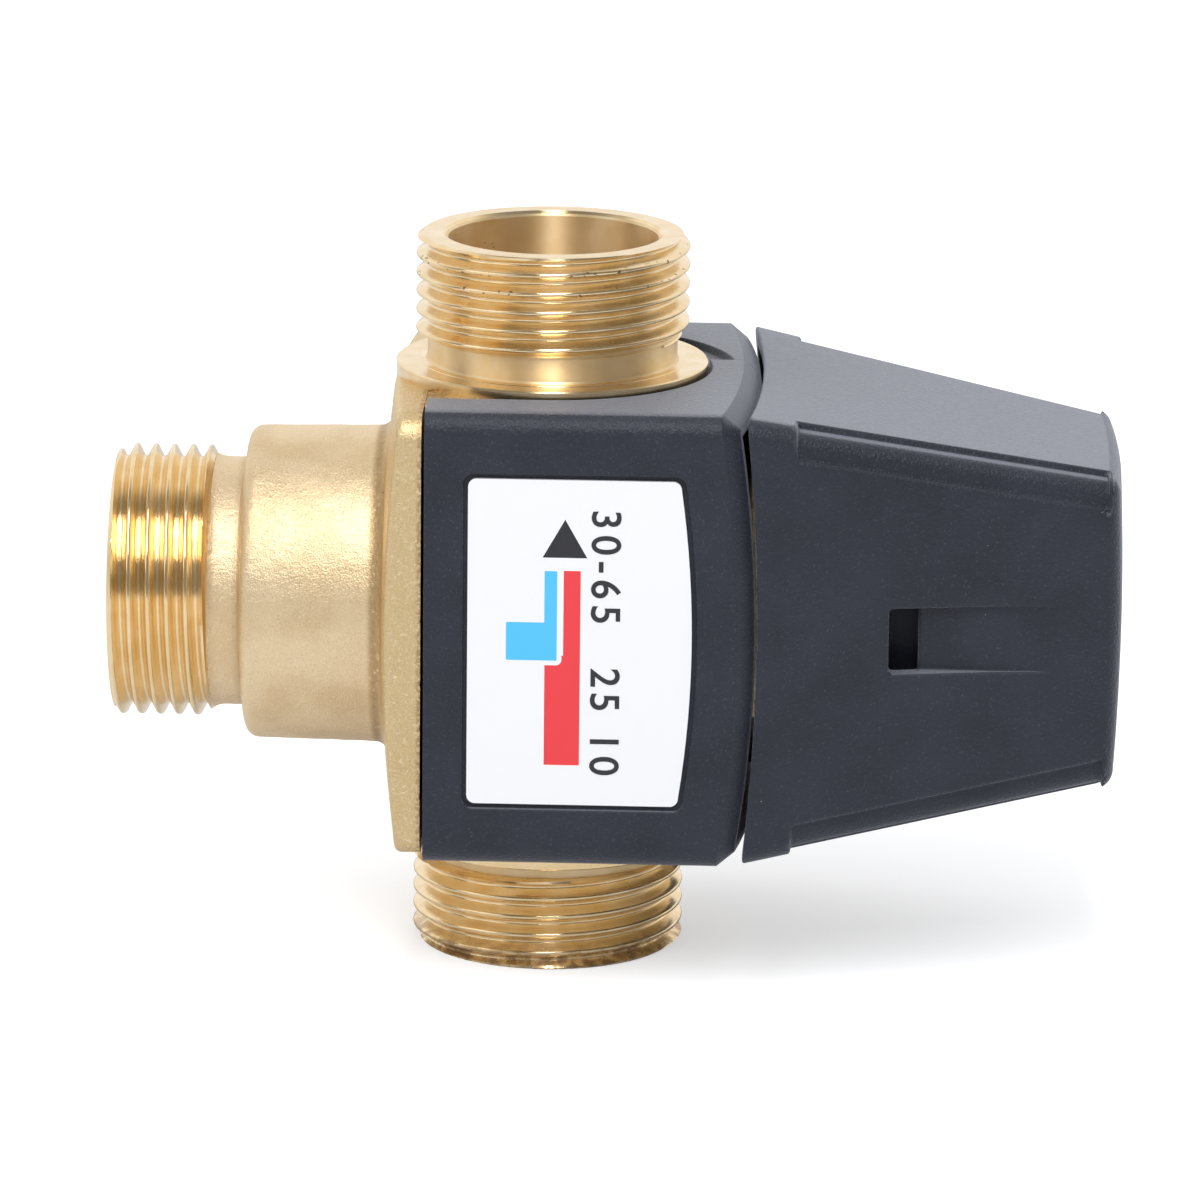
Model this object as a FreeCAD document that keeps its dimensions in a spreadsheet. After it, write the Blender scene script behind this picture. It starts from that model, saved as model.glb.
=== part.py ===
"""Thermostatic mixing valve: a cast brass body with three outside-threaded ports, two plastic
half covers, a square protective cap, and the cartridge that mixes hot and cold water.

Frame: the origin is the centre of the hot inlet's end face, which is the lowest point.
+Z runs up the vertical ports to the mixed outlet, and +X runs along the valve's axis from
the cold inlet to the cap. Sketches are drawn from the crossing of the two axes, and every
body is placed at the height of that crossing. Lengths are in millimetres.
"""
import FreeCAD, Part
import math
import os
import re

import Sketcher

doc = FreeCAD.newDocument("mixing_valve")
sheet = doc.addObject("Spreadsheet::Sheet", "Sizes")

# Each driving size: its name, its value, and what it measures.
SIZES = [
    # ports
    ("port_reach", 35.0, "axis crossing to the end faces of the hot inlet and the outlet"),
    ("side_reach", 42.0, "axis crossing to the end face of the cold inlet"),
    ("thread_dia", 26.3, "crest diameter of the three pipe threads"),
    ("thread_chamfer", 0.65, "chamfer at the free end of each thread"),
    ("outlet_thread", 9.7, "threaded length of the outlet"),
    ("hot_thread", 8.8, "threaded length of the hot inlet"),
    ("side_thread", 8.7, "threaded length of the cold inlet"),
    ("neck_dia", 24.1, "turned necks behind the threads"),
    ("bore_dia", 20.2, "water bore of each port"),
    ("bore_chamfer", 0.45, "chamfer at the mouth of each bore"),
    ("bore_floor", 16.5, "axis crossing to the floor of the vertical bores"),
    ("collar_dia", 30.2, "turned collar at the foot of each vertical port"),
    ("collar_top", 22.65, "axis crossing to the face of the outlet's collar"),
    ("collar_bottom", 24.4, "axis crossing to the face of the hot inlet's collar"),
    ("collar_depth", 3.2, "depth of the turned collars"),
    ("neck_fillet", 0.4, "fillet between each vertical neck and its collar"),
    ("shoulder_width", 30.4, "cast shoulder that runs from the flange round each collar"),
    ("shoulder_top", 21.4, "axis crossing to the face of that shoulder"),
    ("shoulder_foot", 14.0, "axis crossing to the foot of that shoulder"),
    # cast boss, flange and barrel
    ("boss_dia", 30.35, "cast boss behind the cold inlet"),
    ("boss_reach", 29.2, "axis crossing to the outer end of the boss"),
    ("boss_round", 1.2, "rounding at the outer end of the boss"),
    ("boss_fillet", 1.3, "fillet between the boss and the flange"),
    ("flange_size", 43.0, "width and height of the square flange"),
    ("flange_back", 11.4, "axis crossing to the flat back of the flange"),
    ("flange_round", 2.6, "rounding of the flange's corners"),
    ("flange_lap", 0.5, "how far each shoulder runs into the flange"),
    ("dome_reach", 16.2, "axis crossing to the top of the flange's domed face"),
    ("dome_radius", 175.0, "radius of the flange's domed face"),
    ("barrel_dia", 34.8, "cast barrel inside the covers"),
    ("barrel_reach", 17.0, "axis crossing to the open end of the barrel"),
    # water chambers
    ("chamber_dia", 24.0, "mixing chamber and hot chamber"),
    ("cold_wall", 11.4, "axis crossing to the mixing chamber's cold end"),
    ("cold_wall_thick", 1.8, "wall between cold inlet and mixing chamber"),
    ("hot_wall", 2.0, "axis crossing to the mixing chamber's hot end"),
    ("wall_thick", 1.6, "wall between mixing chamber and hot chamber"),
    ("hot_hole_dia", 18.0, "hole in the wall to the hot chamber"),
    ("socket_dia", 25.2, "socket that takes the bonnet"),
    ("socket_face", 12.2, "axis crossing to the shoulder of the socket"),
    ("passage_width", 14.0, "width of the passages from the bores to the chambers"),
    ("passage_length", 9.6, "length of the outlet's passage along the axis"),
    ("hot_passage", 4.2, "length of the hot inlet's passage along the axis"),
    ("passage_rim", 1.0, "mixing chamber's hot end to the outlet's passage"),
    # seats, discs and the springs between them
    ("cold_ring_dia", 16.0, "outside of the cold seat ring"),
    ("cold_ring_hole", 13.0, "hole of the cold seat ring"),
    ("seat_lip", 0.4, "height of the raised lip on both seat rings"),
    ("hot_ring_hole", 16.0, "hole of the hot seat ring"),
    ("hot_ring_thick", 1.6, "thickness of the hot seat ring"),
    ("lip_width", 0.8, "width of the lip on the hot seat ring"),
    ("seat_gap", 1.0, "opening of each disc from its seat at rest"),
    ("disc_thick", 1.6, "thickness of the two valve discs"),
    ("hot_disc_dia", 18.8, "hot valve disc"),
    ("cold_disc_dia", 15.2, "cold valve disc"),
    ("bulb_dia", 8.4, "sensing bulb of the wax element"),
    ("bulb_reach", 6.0, "axis crossing to the cold end of the bulb"),
    ("bulb_round", 0.8, "rounding at the bulb's cold end"),
    ("crimp_length", 1.2, "cone between the bulb and its stem"),
    ("rim_dia", 10.8, "clamping rim of the wax element"),
    ("rim_thick", 1.0, "thickness of that rim"),
    ("guide_dia", 6.4, "neck of the wax element round its piston"),
    ("guide_length", 4.9, "length of that neck beyond the rim"),
    ("guide_gap", 0.9, "room between that neck and the setting carrier's cup"),
    ("stem_dia", 3.5, "stem that carries the cold disc"),
    ("stem_step", 0.7, "step on the stem that the cold disc rests on"),
    ("stem_past", 0.5, "end of the stem beyond its nut"),
    ("nut_flats", 5.5, "nut across its flats on that stem"),
    ("nut_height", 2.2, "height of that nut"),
    ("piston_dia", 2.5, "piston pushed out by the wax"),
    ("piston_length", 10.9, "length of the piston"),
    ("piston_room", 0.8, "wax behind the piston's end"),
    ("edge_break", 0.4, "chamfer on small turned edges"),
    ("return_coil", 14.3, "mean diameter of the return spring"),
    ("return_wire", 0.8, "wire of the return spring"),
    ("return_turns", 5.0, "turns of the return spring"),
    # setting train
    ("plunger_dia", 8.6, "plunger that the piston pushes against"),
    ("plunger_thick", 1.4, "thickness of the plunger"),
    ("plunger_socket", 0.7, "depth of the plunger's socket"),
    ("carrier_dia", 10.8, "setting carrier"),
    ("carrier_wall", 1.0, "wall of the carrier's cup"),
    ("carrier_lip", 0.8, "rolled lip that holds the plunger in"),
    ("lip_hole", 6.9, "hole inside that lip"),
    ("carrier_nut", 2.8, "tapped end of the carrier"),
    ("overload_length", 6.0, "overload spring as fitted"),
    ("overload_coil", 7.0, "mean diameter of the overload spring"),
    ("overload_wire", 1.2, "wire of the overload spring"),
    ("overload_turns", 3.0, "turns of the overload spring"),
    ("key_width", 2.4, "keys that stop the carrier from turning"),
    ("key_height", 1.1, "height of the keys above the carrier"),
    ("key_length", 3.0, "length of the keys"),
    ("key_room", 0.4, "length of the keyways beyond the carrier's travel"),
    ("screw_dia", 4.0, "setting screw on the spindle"),
    ("screw_length", 5.6, "length of the setting screw"),
    ("thrust_dia", 10.0, "thrust collar of the spindle"),
    ("thrust_thick", 1.8, "thickness of the thrust collar"),
    ("carrier_travel", 0.8, "room for the carrier in front of the thrust collar"),
    ("spindle_dia", 6.4, "spindle where it runs in the bonnet"),
    ("seal_groove", 1.0, "depth of the spindle's two seal grooves"),
    ("seal_width", 1.4, "width of those grooves"),
    ("seal_pitch", 3.2, "distance between those grooves"),
    ("head_length", 6.0, "free head of the spindle beyond its clip"),
    ("head_flats", 5.0, "square of the spindle's head"),
    ("head_collar", 0.8, "round collar between the clip and that square"),
    ("slot_width", 1.0, "screwdriver slot in the head"),
    ("slot_depth", 1.4, "depth of that slot"),
    # bonnet
    ("skirt_wall", 1.2, "wall of the bonnet's skirt"),
    ("skirt_dia", 22.0, "outside of the bonnet's skirt"),
    ("window_width", 9.0, "four windows in the skirt"),
    ("window_length", 3.6, "length of those windows"),
    ("window_rim", 0.8, "skirt between the seat's lip and the windows"),
    ("bonnet_groove", 1.1, "depth of the bonnet's seal groove"),
    ("bonnet_groove_width", 1.9, "width of the bonnet's seal groove"),
    ("bonnet_land", 1.0, "land between that groove and the hexagon"),
    ("hex_flats", 30.0, "bonnet hexagon across its flats"),
    ("hex_thick", 4.0, "thickness of the hexagon"),
    ("hub_dia", 21.0, "hub of the bonnet that carries the cap ring"),
    ("hub_length", 9.8, "length of the hub"),
    ("gland_dia", 13.0, "gland of the bonnet round the spindle"),
    ("gland_length", 5.2, "length of the gland beyond the hub"),
    ("gland_chamfer", 0.6, "chamfer at the gland's end"),
    ("clip_thick", 0.8, "retaining clips"),
    ("clip_height", 1.8, "how far each clip stands out of its groove"),
    ("clip_groove", 0.5, "depth of the grooves of the clips"),
    ("clip_mouth", 0.7, "opening of each clip as a share of its inner diameter"),
    # covers
    ("cover_size", 44.0, "outside width and height of the covers"),
    ("cover_left", 11.1, "axis crossing to the covers' edge beside the flange"),
    ("cover_reach", 21.68, "axis crossing to the top of the covers' bowed end"),
    ("parting", 3.5, "axis to the plane where the two covers meet"),
    ("cover_bow_radius", 132.0, "radius of that bowed end"),
    ("cover_wall_thick", 2.2, "wall of the covers"),
    ("cover_round", 2.0, "rounding of the covers' long edges"),
    ("cover_bevel", 1.4, "bevel round the bowed end"),
    ("collar_gap", 0.25, "gap between the covers and the shoulders with their collars"),
    ("ledge_width", 2.4, "sunk ledge of the rear cover round each collar"),
    ("ledge_drop", 0.8, "depth of that ledge below the cover's face"),
    ("rib_thick", 1.4, "saddle ribs inside the covers"),
    ("rib_near", 9.9, "axis crossing to the saddle rib beside the flange"),
    ("rib_far", 15.4, "axis crossing to the far side of the other saddle rib"),
    ("fit_gap", 0.05, "clearance of turned fits"),
    ("seal_gap", 0.02, "room round each rubber ring"),
    # label
    ("label_left", 6.95, "axis crossing to the label's straight edge"),
    ("label_right", 13.1, "axis crossing to the label's corners at its bowed edge"),
    ("label_high", 15.8, "half height of the label"),
    ("label_bow_radius", 102.0, "radius of the label's bowed edge"),
    ("label_round", 0.8, "rounding of the label's corners"),
    ("label_thick", 0.4, "thickness of the label"),
    ("label_sink", 0.15, "depth of the label's face below the cover"),
    ("label_gap", 0.5, "gap round the label"),
    # cap
    ("cap_size", 43.5, "width of the cap at its open edge"),
    ("cap_draft", 0.188, "how much each side of the cap falls in for each unit of length"),
    ("cap_overlap", 2.38, "how far the corners of the cap's edge lie behind the covers' bowed end"),
    ("cap_nest", 0.22, "how far the bow cut into the cap's edge lies behind the same end"),
    ("cap_bow_radius", 200.0, "radius of that bow"),
    ("cap_length", 35.9, "corners of the cap's edge to the top of its domed end"),
    ("cap_dome_radius", 240.0, "radius of the domed end"),
    ("cap_round", 1.9, "rounding of the cap's long edges and round its end"),
    ("cap_wall", 2.0, "wall of the cap"),
    ("cap_end_wall", 2.6, "wall at the cap's domed end"),
    ("rebate_from_edge", 4.5, "cap's edge to the start of the corner rebates"),
    ("rebate_from_end", 1.9, "end of the corner rebates to the cap's domed end"),
    ("rebate_width", 3.1, "width of the rebates on each face"),
    ("rebate_depth", 0.6, "depth of the rebates"),
    ("release_from_edge", 13.45, "cap's edge to the near edge of the release slot"),
    ("release_length", 2.8, "length of the release slot"),
    ("release_width", 6.4, "width of the release slot and its ramp"),
    ("ramp_length", 13.35, "length of the ramp beyond the slot"),
    ("ramp_depth", 1.5, "depth of the ramp at the slot"),
    ("sleeve_wall", 1.4, "wall of the sleeve inside the cap"),
    ("sleeve_root", 0.5, "how far that sleeve runs into the cap's end wall"),
    ("ring_dia", 24.0, "outside of the cap ring"),
    ("ring_length", 7.6, "length of the cap ring"),
    ("ring_gap", 1.0, "gap between the bonnet's hexagon and the cap ring"),
    ("ring_bare", 1.2, "length of the ring that the cap's sleeve leaves bare"),
    ("ring_lead", 0.8, "length of the lead-in at the ring's free end"),
    ("ring_lead_depth", 0.5, "depth of that lead-in"),
    ("run_out", 1.0, "how far a cut runs past the face that it opens"),
]
for row, (alias, value, meaning) in enumerate(SIZES, start=1):
    sheet.set(f"A{row}", alias)
    sheet.set(f"B{row}", str(value))
    sheet.set(f"C{row}", meaning)
    sheet.setAlias(f"B{row}", alias)
doc.recompute()
ALIASES = {alias for alias, value, meaning in SIZES}

# Places that several pieces share, written in the sheet's names.
THREAD = "(thread_dia / 2)"
NECK = "(neck_dia / 2)"
BORE = "(bore_dia / 2)"
COLLAR = "(collar_dia / 2)"
BARREL = "(barrel_dia / 2)"
CHAMBER = "(chamber_dia / 2)"
HOT_CHAMBER_FACE = "(hot_wall + wall_thick)"
HOT_RING_FACE = f"({HOT_CHAMBER_FACE} + hot_ring_thick)"
HOT_DISC_FACE = f"({HOT_RING_FACE} + seat_lip + seat_gap)"
HOT_DISC_BACK = f"({HOT_DISC_FACE} + disc_thick)"
COLD_FACE = "(cold_wall + cold_wall_thick)"
COLD_LIP = f"({COLD_FACE} + seat_lip)"
COLD_DISC_FACE = f"({COLD_LIP} + seat_gap)"
COLD_DISC_BACK = f"({COLD_DISC_FACE} + disc_thick)"
RIM_FACE = f"({HOT_DISC_FACE} - rim_thick)"
GUIDE_END = f"({HOT_DISC_FACE} + guide_length)"
CUP_FACE = f"({GUIDE_END} + guide_gap)"
PLUNGER_FACE = f"({CUP_FACE} + carrier_lip)"
PLUNGER_BACK = f"({PLUNGER_FACE} + plunger_thick)"
PISTON_END = f"({PLUNGER_FACE} + plunger_socket)"
SPRING_BACK = f"({PLUNGER_BACK} + overload_length)"
CARRIER_BACK = f"({SPRING_BACK} + carrier_nut)"
THRUST_FACE = f"({CARRIER_BACK} + carrier_travel)"
THRUST_BACK = f"({THRUST_FACE} + thrust_thick)"
GROOVE_NEAR = "(barrel_reach - bonnet_land - bonnet_groove_width)"
HEX_BACK = "(barrel_reach + hex_thick)"
HUB_END = f"({HEX_BACK} + hub_length)"
GLAND_END = f"({HUB_END} + gland_length)"
CLIP_BACK = f"({GLAND_END} + clip_thick)"
HEAD_END = f"({CLIP_BACK} + head_length)"
FIRST_SEAL = f"({HUB_END} - seal_pitch)"
SECOND_SEAL = f"({HUB_END} + seal_width)"
RING_NEAR = f"({HEX_BACK} + ring_gap)"
RING_FAR = f"({RING_NEAR} + ring_length)"
COVER = "(cover_size / 2)"
COVER_INSIDE = f"({COVER} - cover_wall_thick)"
LABEL_FACE = f"({COVER} - label_sink)"
CAP_EDGE = "(cover_reach - cap_overlap)"
CAP_BOW = "(cover_reach - cap_nest)"
CAP_END = f"({CAP_EDGE} + cap_length)"
CAP_INSIDE = f"({CAP_END} - cap_end_wall)"
SLOT_NEAR = f"({CAP_EDGE} + release_from_edge)"
SLOT_FAR = f"({SLOT_NEAR} + release_length)"
RAMP_END = f"({SLOT_FAR} + ramp_length)"


def bound(expression):
    """The expression with each size's name pointed at the sheet."""
    return re.sub(r"[a-z_]+", lambda m: f"Sizes.{m[0]}" if m[0] in ALIASES else m[0], expression)


def number(expression):
    """What the expression is worth now."""
    value = sheet.evalExpression(bound(expression))
    return float(getattr(value, "Value", value))


def new_body(name):
    """An empty body at the height of the axis crossing."""
    body = doc.addObject("PartDesign::Body", name)
    body.Label = name
    body.setExpression("Placement.Base.z", bound("port_reach"))
    return body


def plane_of(body, role):
    """One of the body's own origin planes."""
    return next(part for part in body.Origin.OriginFeatures if part.Role == role)


def outline(body, name, role, points, offset="0"):
    """A closed sketch through the points, each a pair of expressions. A third entry makes the
    edge that arrives at that point an arc of that radius: positive turns left on the way."""
    sketch = body.newObject("Sketcher::SketchObject", name)
    sketch.AttachmentSupport = [(plane_of(body, role), "")]
    sketch.MapMode = "FlatFace"
    sketch.setExpression("AttachmentOffset.Base.z", bound(offset))
    corners = [FreeCAD.Vector(number(p[0]), number(p[1]), 0) for p in points]
    ends = []
    for i, point in enumerate(points):
        start, finish = corners[i - 1], corners[i]
        if len(point) == 3:
            bulge = number(point[2])
            radius = abs(bulge)
            chord = finish - start
            side = FreeCAD.Vector(-chord.y, chord.x, 0).normalize() * math.copysign(1, bulge)
            reach = math.sqrt(max(radius ** 2 - chord.Length ** 2 / 4, 0))
            centre = (start + finish) * 0.5 + side * reach
            first, last = (start, finish) if bulge > 0 else (finish, start)
            circle = Part.Circle(centre, FreeCAD.Vector(0, 0, 1), radius)
            edge = Part.ArcOfCircle(circle, circle.parameter(first), circle.parameter(last))
            index = sketch.addGeometry(edge, False)
            ends.append((index, 1, 2) if bulge > 0 else (index, 2, 1))
            rule = sketch.addConstraint(Sketcher.Constraint("Radius", index, radius))
            sketch.setExpression(f"Constraints[{rule}]", bound(f"abs({point[2]})"))
        else:
            index = sketch.addGeometry(Part.LineSegment(start, finish), False)
            ends.append((index, 1, 2))
    for i, point in enumerate(points):
        here, after = ends[i], ends[(i + 1) % len(points)]
        sketch.addConstraint(Sketcher.Constraint("Coincident", here[0], here[2], after[0], after[1]))
        for kind, axis, place in (("DistanceX", -2, point[0]), ("DistanceY", -1, point[1])):
            if place == "0":
                sketch.addConstraint(Sketcher.Constraint("PointOnObject", here[0], here[2], axis))
                continue
            rule = sketch.addConstraint(Sketcher.Constraint(kind, here[0], here[2], number(place)))
            sketch.setExpression(f"Constraints[{rule}]", bound(place))
    return sketch


def feature(body, kind, name, sketch):
    """A PartDesign feature made from the sketch."""
    made = body.newObject(f"PartDesign::{kind}", name)
    made.Profile = sketch
    sketch.Visibility = False
    return made


def revolve(body, name, points, axis="H_Axis", kind="Revolution"):
    """The half section turned a full turn about the valve's axis, or about the ports' axis."""
    sketch = outline(body, f"{name}_section", "XZ_Plane", points)
    turned = feature(body, kind, name, sketch)
    turned.ReferenceAxis = (sketch, [axis])
    turned.Angle = 360
    return turned


def extrude(body, name, role, points, length, offset="0", kind="Pad", reverse=False):
    """The outline pushed by the length along its plane's normal."""
    sketch = outline(body, f"{name}_outline", role, points, offset)
    pushed = feature(body, kind, name, sketch)
    pushed.setExpression("Length", bound(length))
    pushed.Reversed = reverse
    return pushed


def box_points(low_x, low_y, high_x, high_y):
    """The corners of a rectangle, counter-clockwise."""
    return [(low_x, low_y), (high_x, low_y), (high_x, high_y), (low_x, high_y)]


def dress(body, kind, name, size, chosen):
    """A fillet or chamfer on the edges of the newest feature that the test chooses."""
    doc.recompute()
    base = body.Tip
    edges = [f"Edge{i}" for i, edge in enumerate(base.Shape.Edges, start=1) if chosen(edge)]
    made = body.newObject(f"PartDesign::{kind}", name)
    made.Base = (base, edges)
    made.setExpression("Radius" if kind == "Fillet" else "Size", bound(size))
    return made


def around(body, name, base, count):
    """Equal copies of a feature round the valve's axis."""
    doc.recompute()
    pattern = body.newObject("PartDesign::PolarPattern", name)
    pattern.Originals = [base]
    pattern.Axis = (plane_of(body, "X_Axis"), [""])
    pattern.Angle = 360
    pattern.Occurrences = count
    body.Tip = pattern
    return pattern


def runs_along_x(edge):
    """Whether a straight edge lies along the valve's axis, or nearly so."""
    start, finish = edge.Vertexes[0].Point, edge.Vertexes[-1].Point
    run = finish - start
    return run.Length > 1 and abs(run.x) > 0.9 * run.Length


def sphere_edge(reach, radius, height):
    """Where a dome of that reach stands at that height from the axis, for a dome facing +X."""
    return f"({reach} - {radius} + sqrt({radius}^2 - ({height})^2))"


def valve_body():
    """Cast and turned brass: flange, boss, barrel, three ports and the chambers inside."""
    body = new_body("valve_body")
    half = "(flange_size / 2)"
    face = "(dome_reach + run_out)"
    extrude(body, "flange", "YZ_Plane", box_points(f"-{half}", f"-{half}", half, half),
            f"{face} - flange_back", offset=f"-{face}")
    dress(body, "Fillet", "flange_corners", "flange_round", runs_along_x)
    outer = "(0.8 * flange_size)"
    rim = f"(-({sphere_edge('dome_reach', 'dome_radius', outer)}))"
    revolve(body, "flange_dome",
            [(f"-{face} - run_out", "0"), ("-dome_reach", "0"), (rim, outer, "-dome_radius"),
             (f"-{face} - run_out", outer)], kind="Groove")
    boss = "(boss_dia / 2)"
    foot = f"({boss} + boss_fillet)"
    foot_x = f"(-({sphere_edge('dome_reach', 'dome_radius', foot)}))"
    side_neck = "(-(side_reach - side_thread))"
    revolve(body, "axis_solid",
            [("-side_reach", "0"),
             ("-side_reach", f"{THREAD} - thread_chamfer"),
             ("-side_reach + thread_chamfer", THREAD),
             (side_neck, THREAD),
             (side_neck, NECK),
             ("-boss_reach", NECK),
             ("-boss_reach", f"{boss} - boss_round"),
             ("-boss_reach + boss_round", boss, "-boss_round"),
             (f"{foot_x} - boss_fillet", boss),
             (foot_x, foot, "boss_fillet"),
             ("-flange_back", foot),
             ("-flange_back", BARREL),
             ("barrel_reach", BARREL),
             ("barrel_reach", "0")])
    half_shoulder = "(shoulder_width / 2)"
    root = "(-flange_back - flange_lap)"
    for name, way, collar, thread in (("outlet", "", "collar_top", "outlet_thread"),
                                      ("hot_inlet", "-", "collar_bottom", "hot_thread")):
        extrude(body, f"{name}_shoulder", "XY_Plane",
                [("0", f"-{half_shoulder}"),
                 (half_shoulder, "0", half_shoulder),
                 ("0", half_shoulder, half_shoulder),
                 (root, half_shoulder),
                 (root, f"-{half_shoulder}")],
                "shoulder_top - shoulder_foot", offset=f"{way}shoulder_foot",
                reverse=way == "-")
        revolve(body, f"{name}_solid",
                [("0", "0"),
                 (f"{COLLAR} - collar_depth / 2", "0"),
                 (f"{COLLAR} - collar_depth / 2", f"{way}({collar} - collar_depth)"),
                 (COLLAR, f"{way}({collar} - collar_depth)"),
                 (COLLAR, f"{way}{collar}"),
                 (f"{NECK} + neck_fillet", f"{way}{collar}"),
                 (NECK, f"{way}({collar} + neck_fillet)",
                  "-neck_fillet" if way == "" else "neck_fillet"),
                 (NECK, f"{way}(port_reach - {thread})"),
                 (THREAD, f"{way}(port_reach - {thread})"),
                 (THREAD, f"{way}(port_reach - thread_chamfer)"),
                 (f"{THREAD} - thread_chamfer", f"{way}port_reach"),
                 ("0", f"{way}port_reach")], axis="V_Axis")
    revolve(body, "axis_bore",
            [("-side_reach", "0"),
             ("-side_reach", f"{BORE} + bore_chamfer"),
             ("-side_reach + bore_chamfer", BORE),
             (f"-{COLD_FACE}", BORE),
             (f"-{COLD_FACE}", "cold_ring_dia / 2"),
             ("-cold_wall", "cold_ring_dia / 2"),
             ("-cold_wall", CHAMBER),
             ("hot_wall", CHAMBER),
             ("hot_wall", "hot_hole_dia / 2"),
             (HOT_CHAMBER_FACE, "hot_hole_dia / 2"),
             (HOT_CHAMBER_FACE, CHAMBER),
             ("socket_face", CHAMBER),
             ("socket_face", "socket_dia / 2"),
             ("barrel_reach", "socket_dia / 2"),
             ("barrel_reach", "0")], kind="Groove")
    for name, way in (("outlet", ""), ("hot_inlet", "-")):
        revolve(body, f"{name}_bore",
                [("0", f"{way}bore_floor"),
                 (BORE, f"{way}bore_floor"),
                 (BORE, f"{way}(port_reach - bore_chamfer)"),
                 (f"{BORE} + bore_chamfer", f"{way}port_reach"),
                 ("0", f"{way}port_reach")], axis="V_Axis", kind="Groove")
    width = "(passage_width / 2)"
    deep = f"(bore_floor - 0.75 * {CHAMBER} + run_out)"
    outlet_end = "(hot_wall - passage_rim)"
    extrude(body, "outlet_passage", "XY_Plane",
            box_points(f"{outlet_end} - passage_length", f"-{width}", outlet_end, width),
            deep, offset="bore_floor + run_out", kind="Pocket")
    hot_start = f"({HOT_RING_FACE} + seat_lip)"
    extrude(body, "hot_passage_cut", "XY_Plane",
            box_points(hot_start, f"-{width}", f"{hot_start} + hot_passage", width),
            deep, offset="-bore_floor - run_out", kind="Pocket", reverse=True)
    return body


def cold_seat_ring():
    """Pressed into the wall at the cold inlet, with a raised lip towards the inlet."""
    body = new_body("cold_seat_ring")
    hole = "(cold_ring_hole / 2)"
    revolve(body, "ring", [("-cold_wall", hole), (f"-{COLD_LIP}", hole),
                           (f"-{COLD_LIP}", f"{hole} + lip_width"),
                           (f"-{COLD_FACE}", f"{hole} + lip_width + seat_lip"),
                           (f"-{COLD_FACE}", "cold_ring_dia / 2"),
                           ("-cold_wall", "cold_ring_dia / 2")])
    return body


def hot_seat_ring():
    """Lies against the wall of the hot chamber, held there by the bonnet's skirt."""
    body = new_body("hot_seat_ring")
    hole = "(hot_ring_hole / 2)"
    lip = f"({HOT_RING_FACE} + seat_lip)"
    revolve(body, "ring", [(HOT_CHAMBER_FACE, hole),
                           (HOT_CHAMBER_FACE, f"{CHAMBER} - fit_gap"),
                           (HOT_RING_FACE, f"{CHAMBER} - fit_gap"),
                           (HOT_RING_FACE, f"{hole} + lip_width + seat_lip"),
                           (lip, f"{hole} + lip_width"), (lip, hole)])
    return body


def hot_disc():
    """The valve disc that closes on the hot seat ring."""
    body = new_body("hot_disc")
    revolve(body, "disc", [(HOT_DISC_FACE, "guide_dia / 2 + fit_gap"),
                           (HOT_DISC_BACK, "guide_dia / 2 + fit_gap"),
                           (HOT_DISC_BACK, "hot_disc_dia / 2 - edge_break"),
                           (f"{HOT_DISC_BACK} - edge_break", "hot_disc_dia / 2"),
                           (HOT_DISC_FACE, "hot_disc_dia / 2")])
    return body


def cold_disc():
    """The valve disc that closes on the cold seat ring."""
    body = new_body("cold_disc")
    revolve(body, "disc", [(f"-{COLD_DISC_FACE}", "stem_dia / 2 + fit_gap"),
                           (f"-{COLD_DISC_BACK}", "stem_dia / 2 + fit_gap"),
                           (f"-{COLD_DISC_BACK}", "cold_disc_dia / 2 - edge_break"),
                           (f"-({COLD_DISC_BACK} - edge_break)", "cold_disc_dia / 2"),
                           (f"-{COLD_DISC_FACE}", "cold_disc_dia / 2")])
    return body


def wax_element():
    """Sensing bulb, clamping rim, guide neck with the piston's bore, and the cold disc's stem."""
    body = new_body("wax_element")
    bulb = "(bulb_dia / 2)"
    shoulder = f"(-{COLD_DISC_FACE})"
    stem_end = f"(-({COLD_DISC_BACK} + nut_height + stem_past))"
    bore_end = f"({PISTON_END} - piston_length - piston_room)"
    bore = "(piston_dia / 2 + fit_gap)"
    revolve(body, "element",
            [(stem_end, "0"),
             (stem_end, "stem_dia / 2 - edge_break"),
             (f"{stem_end} + edge_break", "stem_dia / 2"),
             (shoulder, "stem_dia / 2"),
             (shoulder, "stem_dia / 2 + stem_step"),
             ("-bulb_reach - crimp_length", "stem_dia / 2 + stem_step"),
             ("-bulb_reach", f"{bulb} - bulb_round"),
             ("-bulb_reach + bulb_round", bulb, "-bulb_round"),
             (RIM_FACE, bulb),
             (RIM_FACE, "rim_dia / 2"),
             (HOT_DISC_FACE, "rim_dia / 2"),
             (HOT_DISC_FACE, "guide_dia / 2"),
             (HOT_DISC_BACK, "guide_dia / 2"),
             (HOT_DISC_BACK, "guide_dia / 2 - clip_groove"),
             (f"{HOT_DISC_BACK} + clip_thick", "guide_dia / 2 - clip_groove"),
             (f"{HOT_DISC_BACK} + clip_thick", "guide_dia / 2"),
             (f"{GUIDE_END} - edge_break", "guide_dia / 2"),
             (GUIDE_END, "guide_dia / 2 - edge_break"),
             (GUIDE_END, bore),
             (bore_end, bore),
             (bore_end, "0")])
    return body


def clip(name, near, shaft):
    """An open retaining clip of flat spring wire in a groove."""
    body = new_body(name)
    inner = f"({shaft} / 2 - clip_groove)"
    outer = f"({inner} + clip_height)"
    revolve(body, "band", [(near, inner), (near, outer), (f"{near} + clip_thick", outer),
                           (f"{near} + clip_thick", inner)])
    mouth = f"(clip_mouth * {inner})"
    extrude(body, "mouth", "YZ_Plane",
            box_points(f"-{mouth}", "0", mouth, f"{outer} + run_out"), "clip_thick + 2 * run_out",
            offset=f"{near} - run_out", kind="Pocket", reverse=True)
    return body


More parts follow.
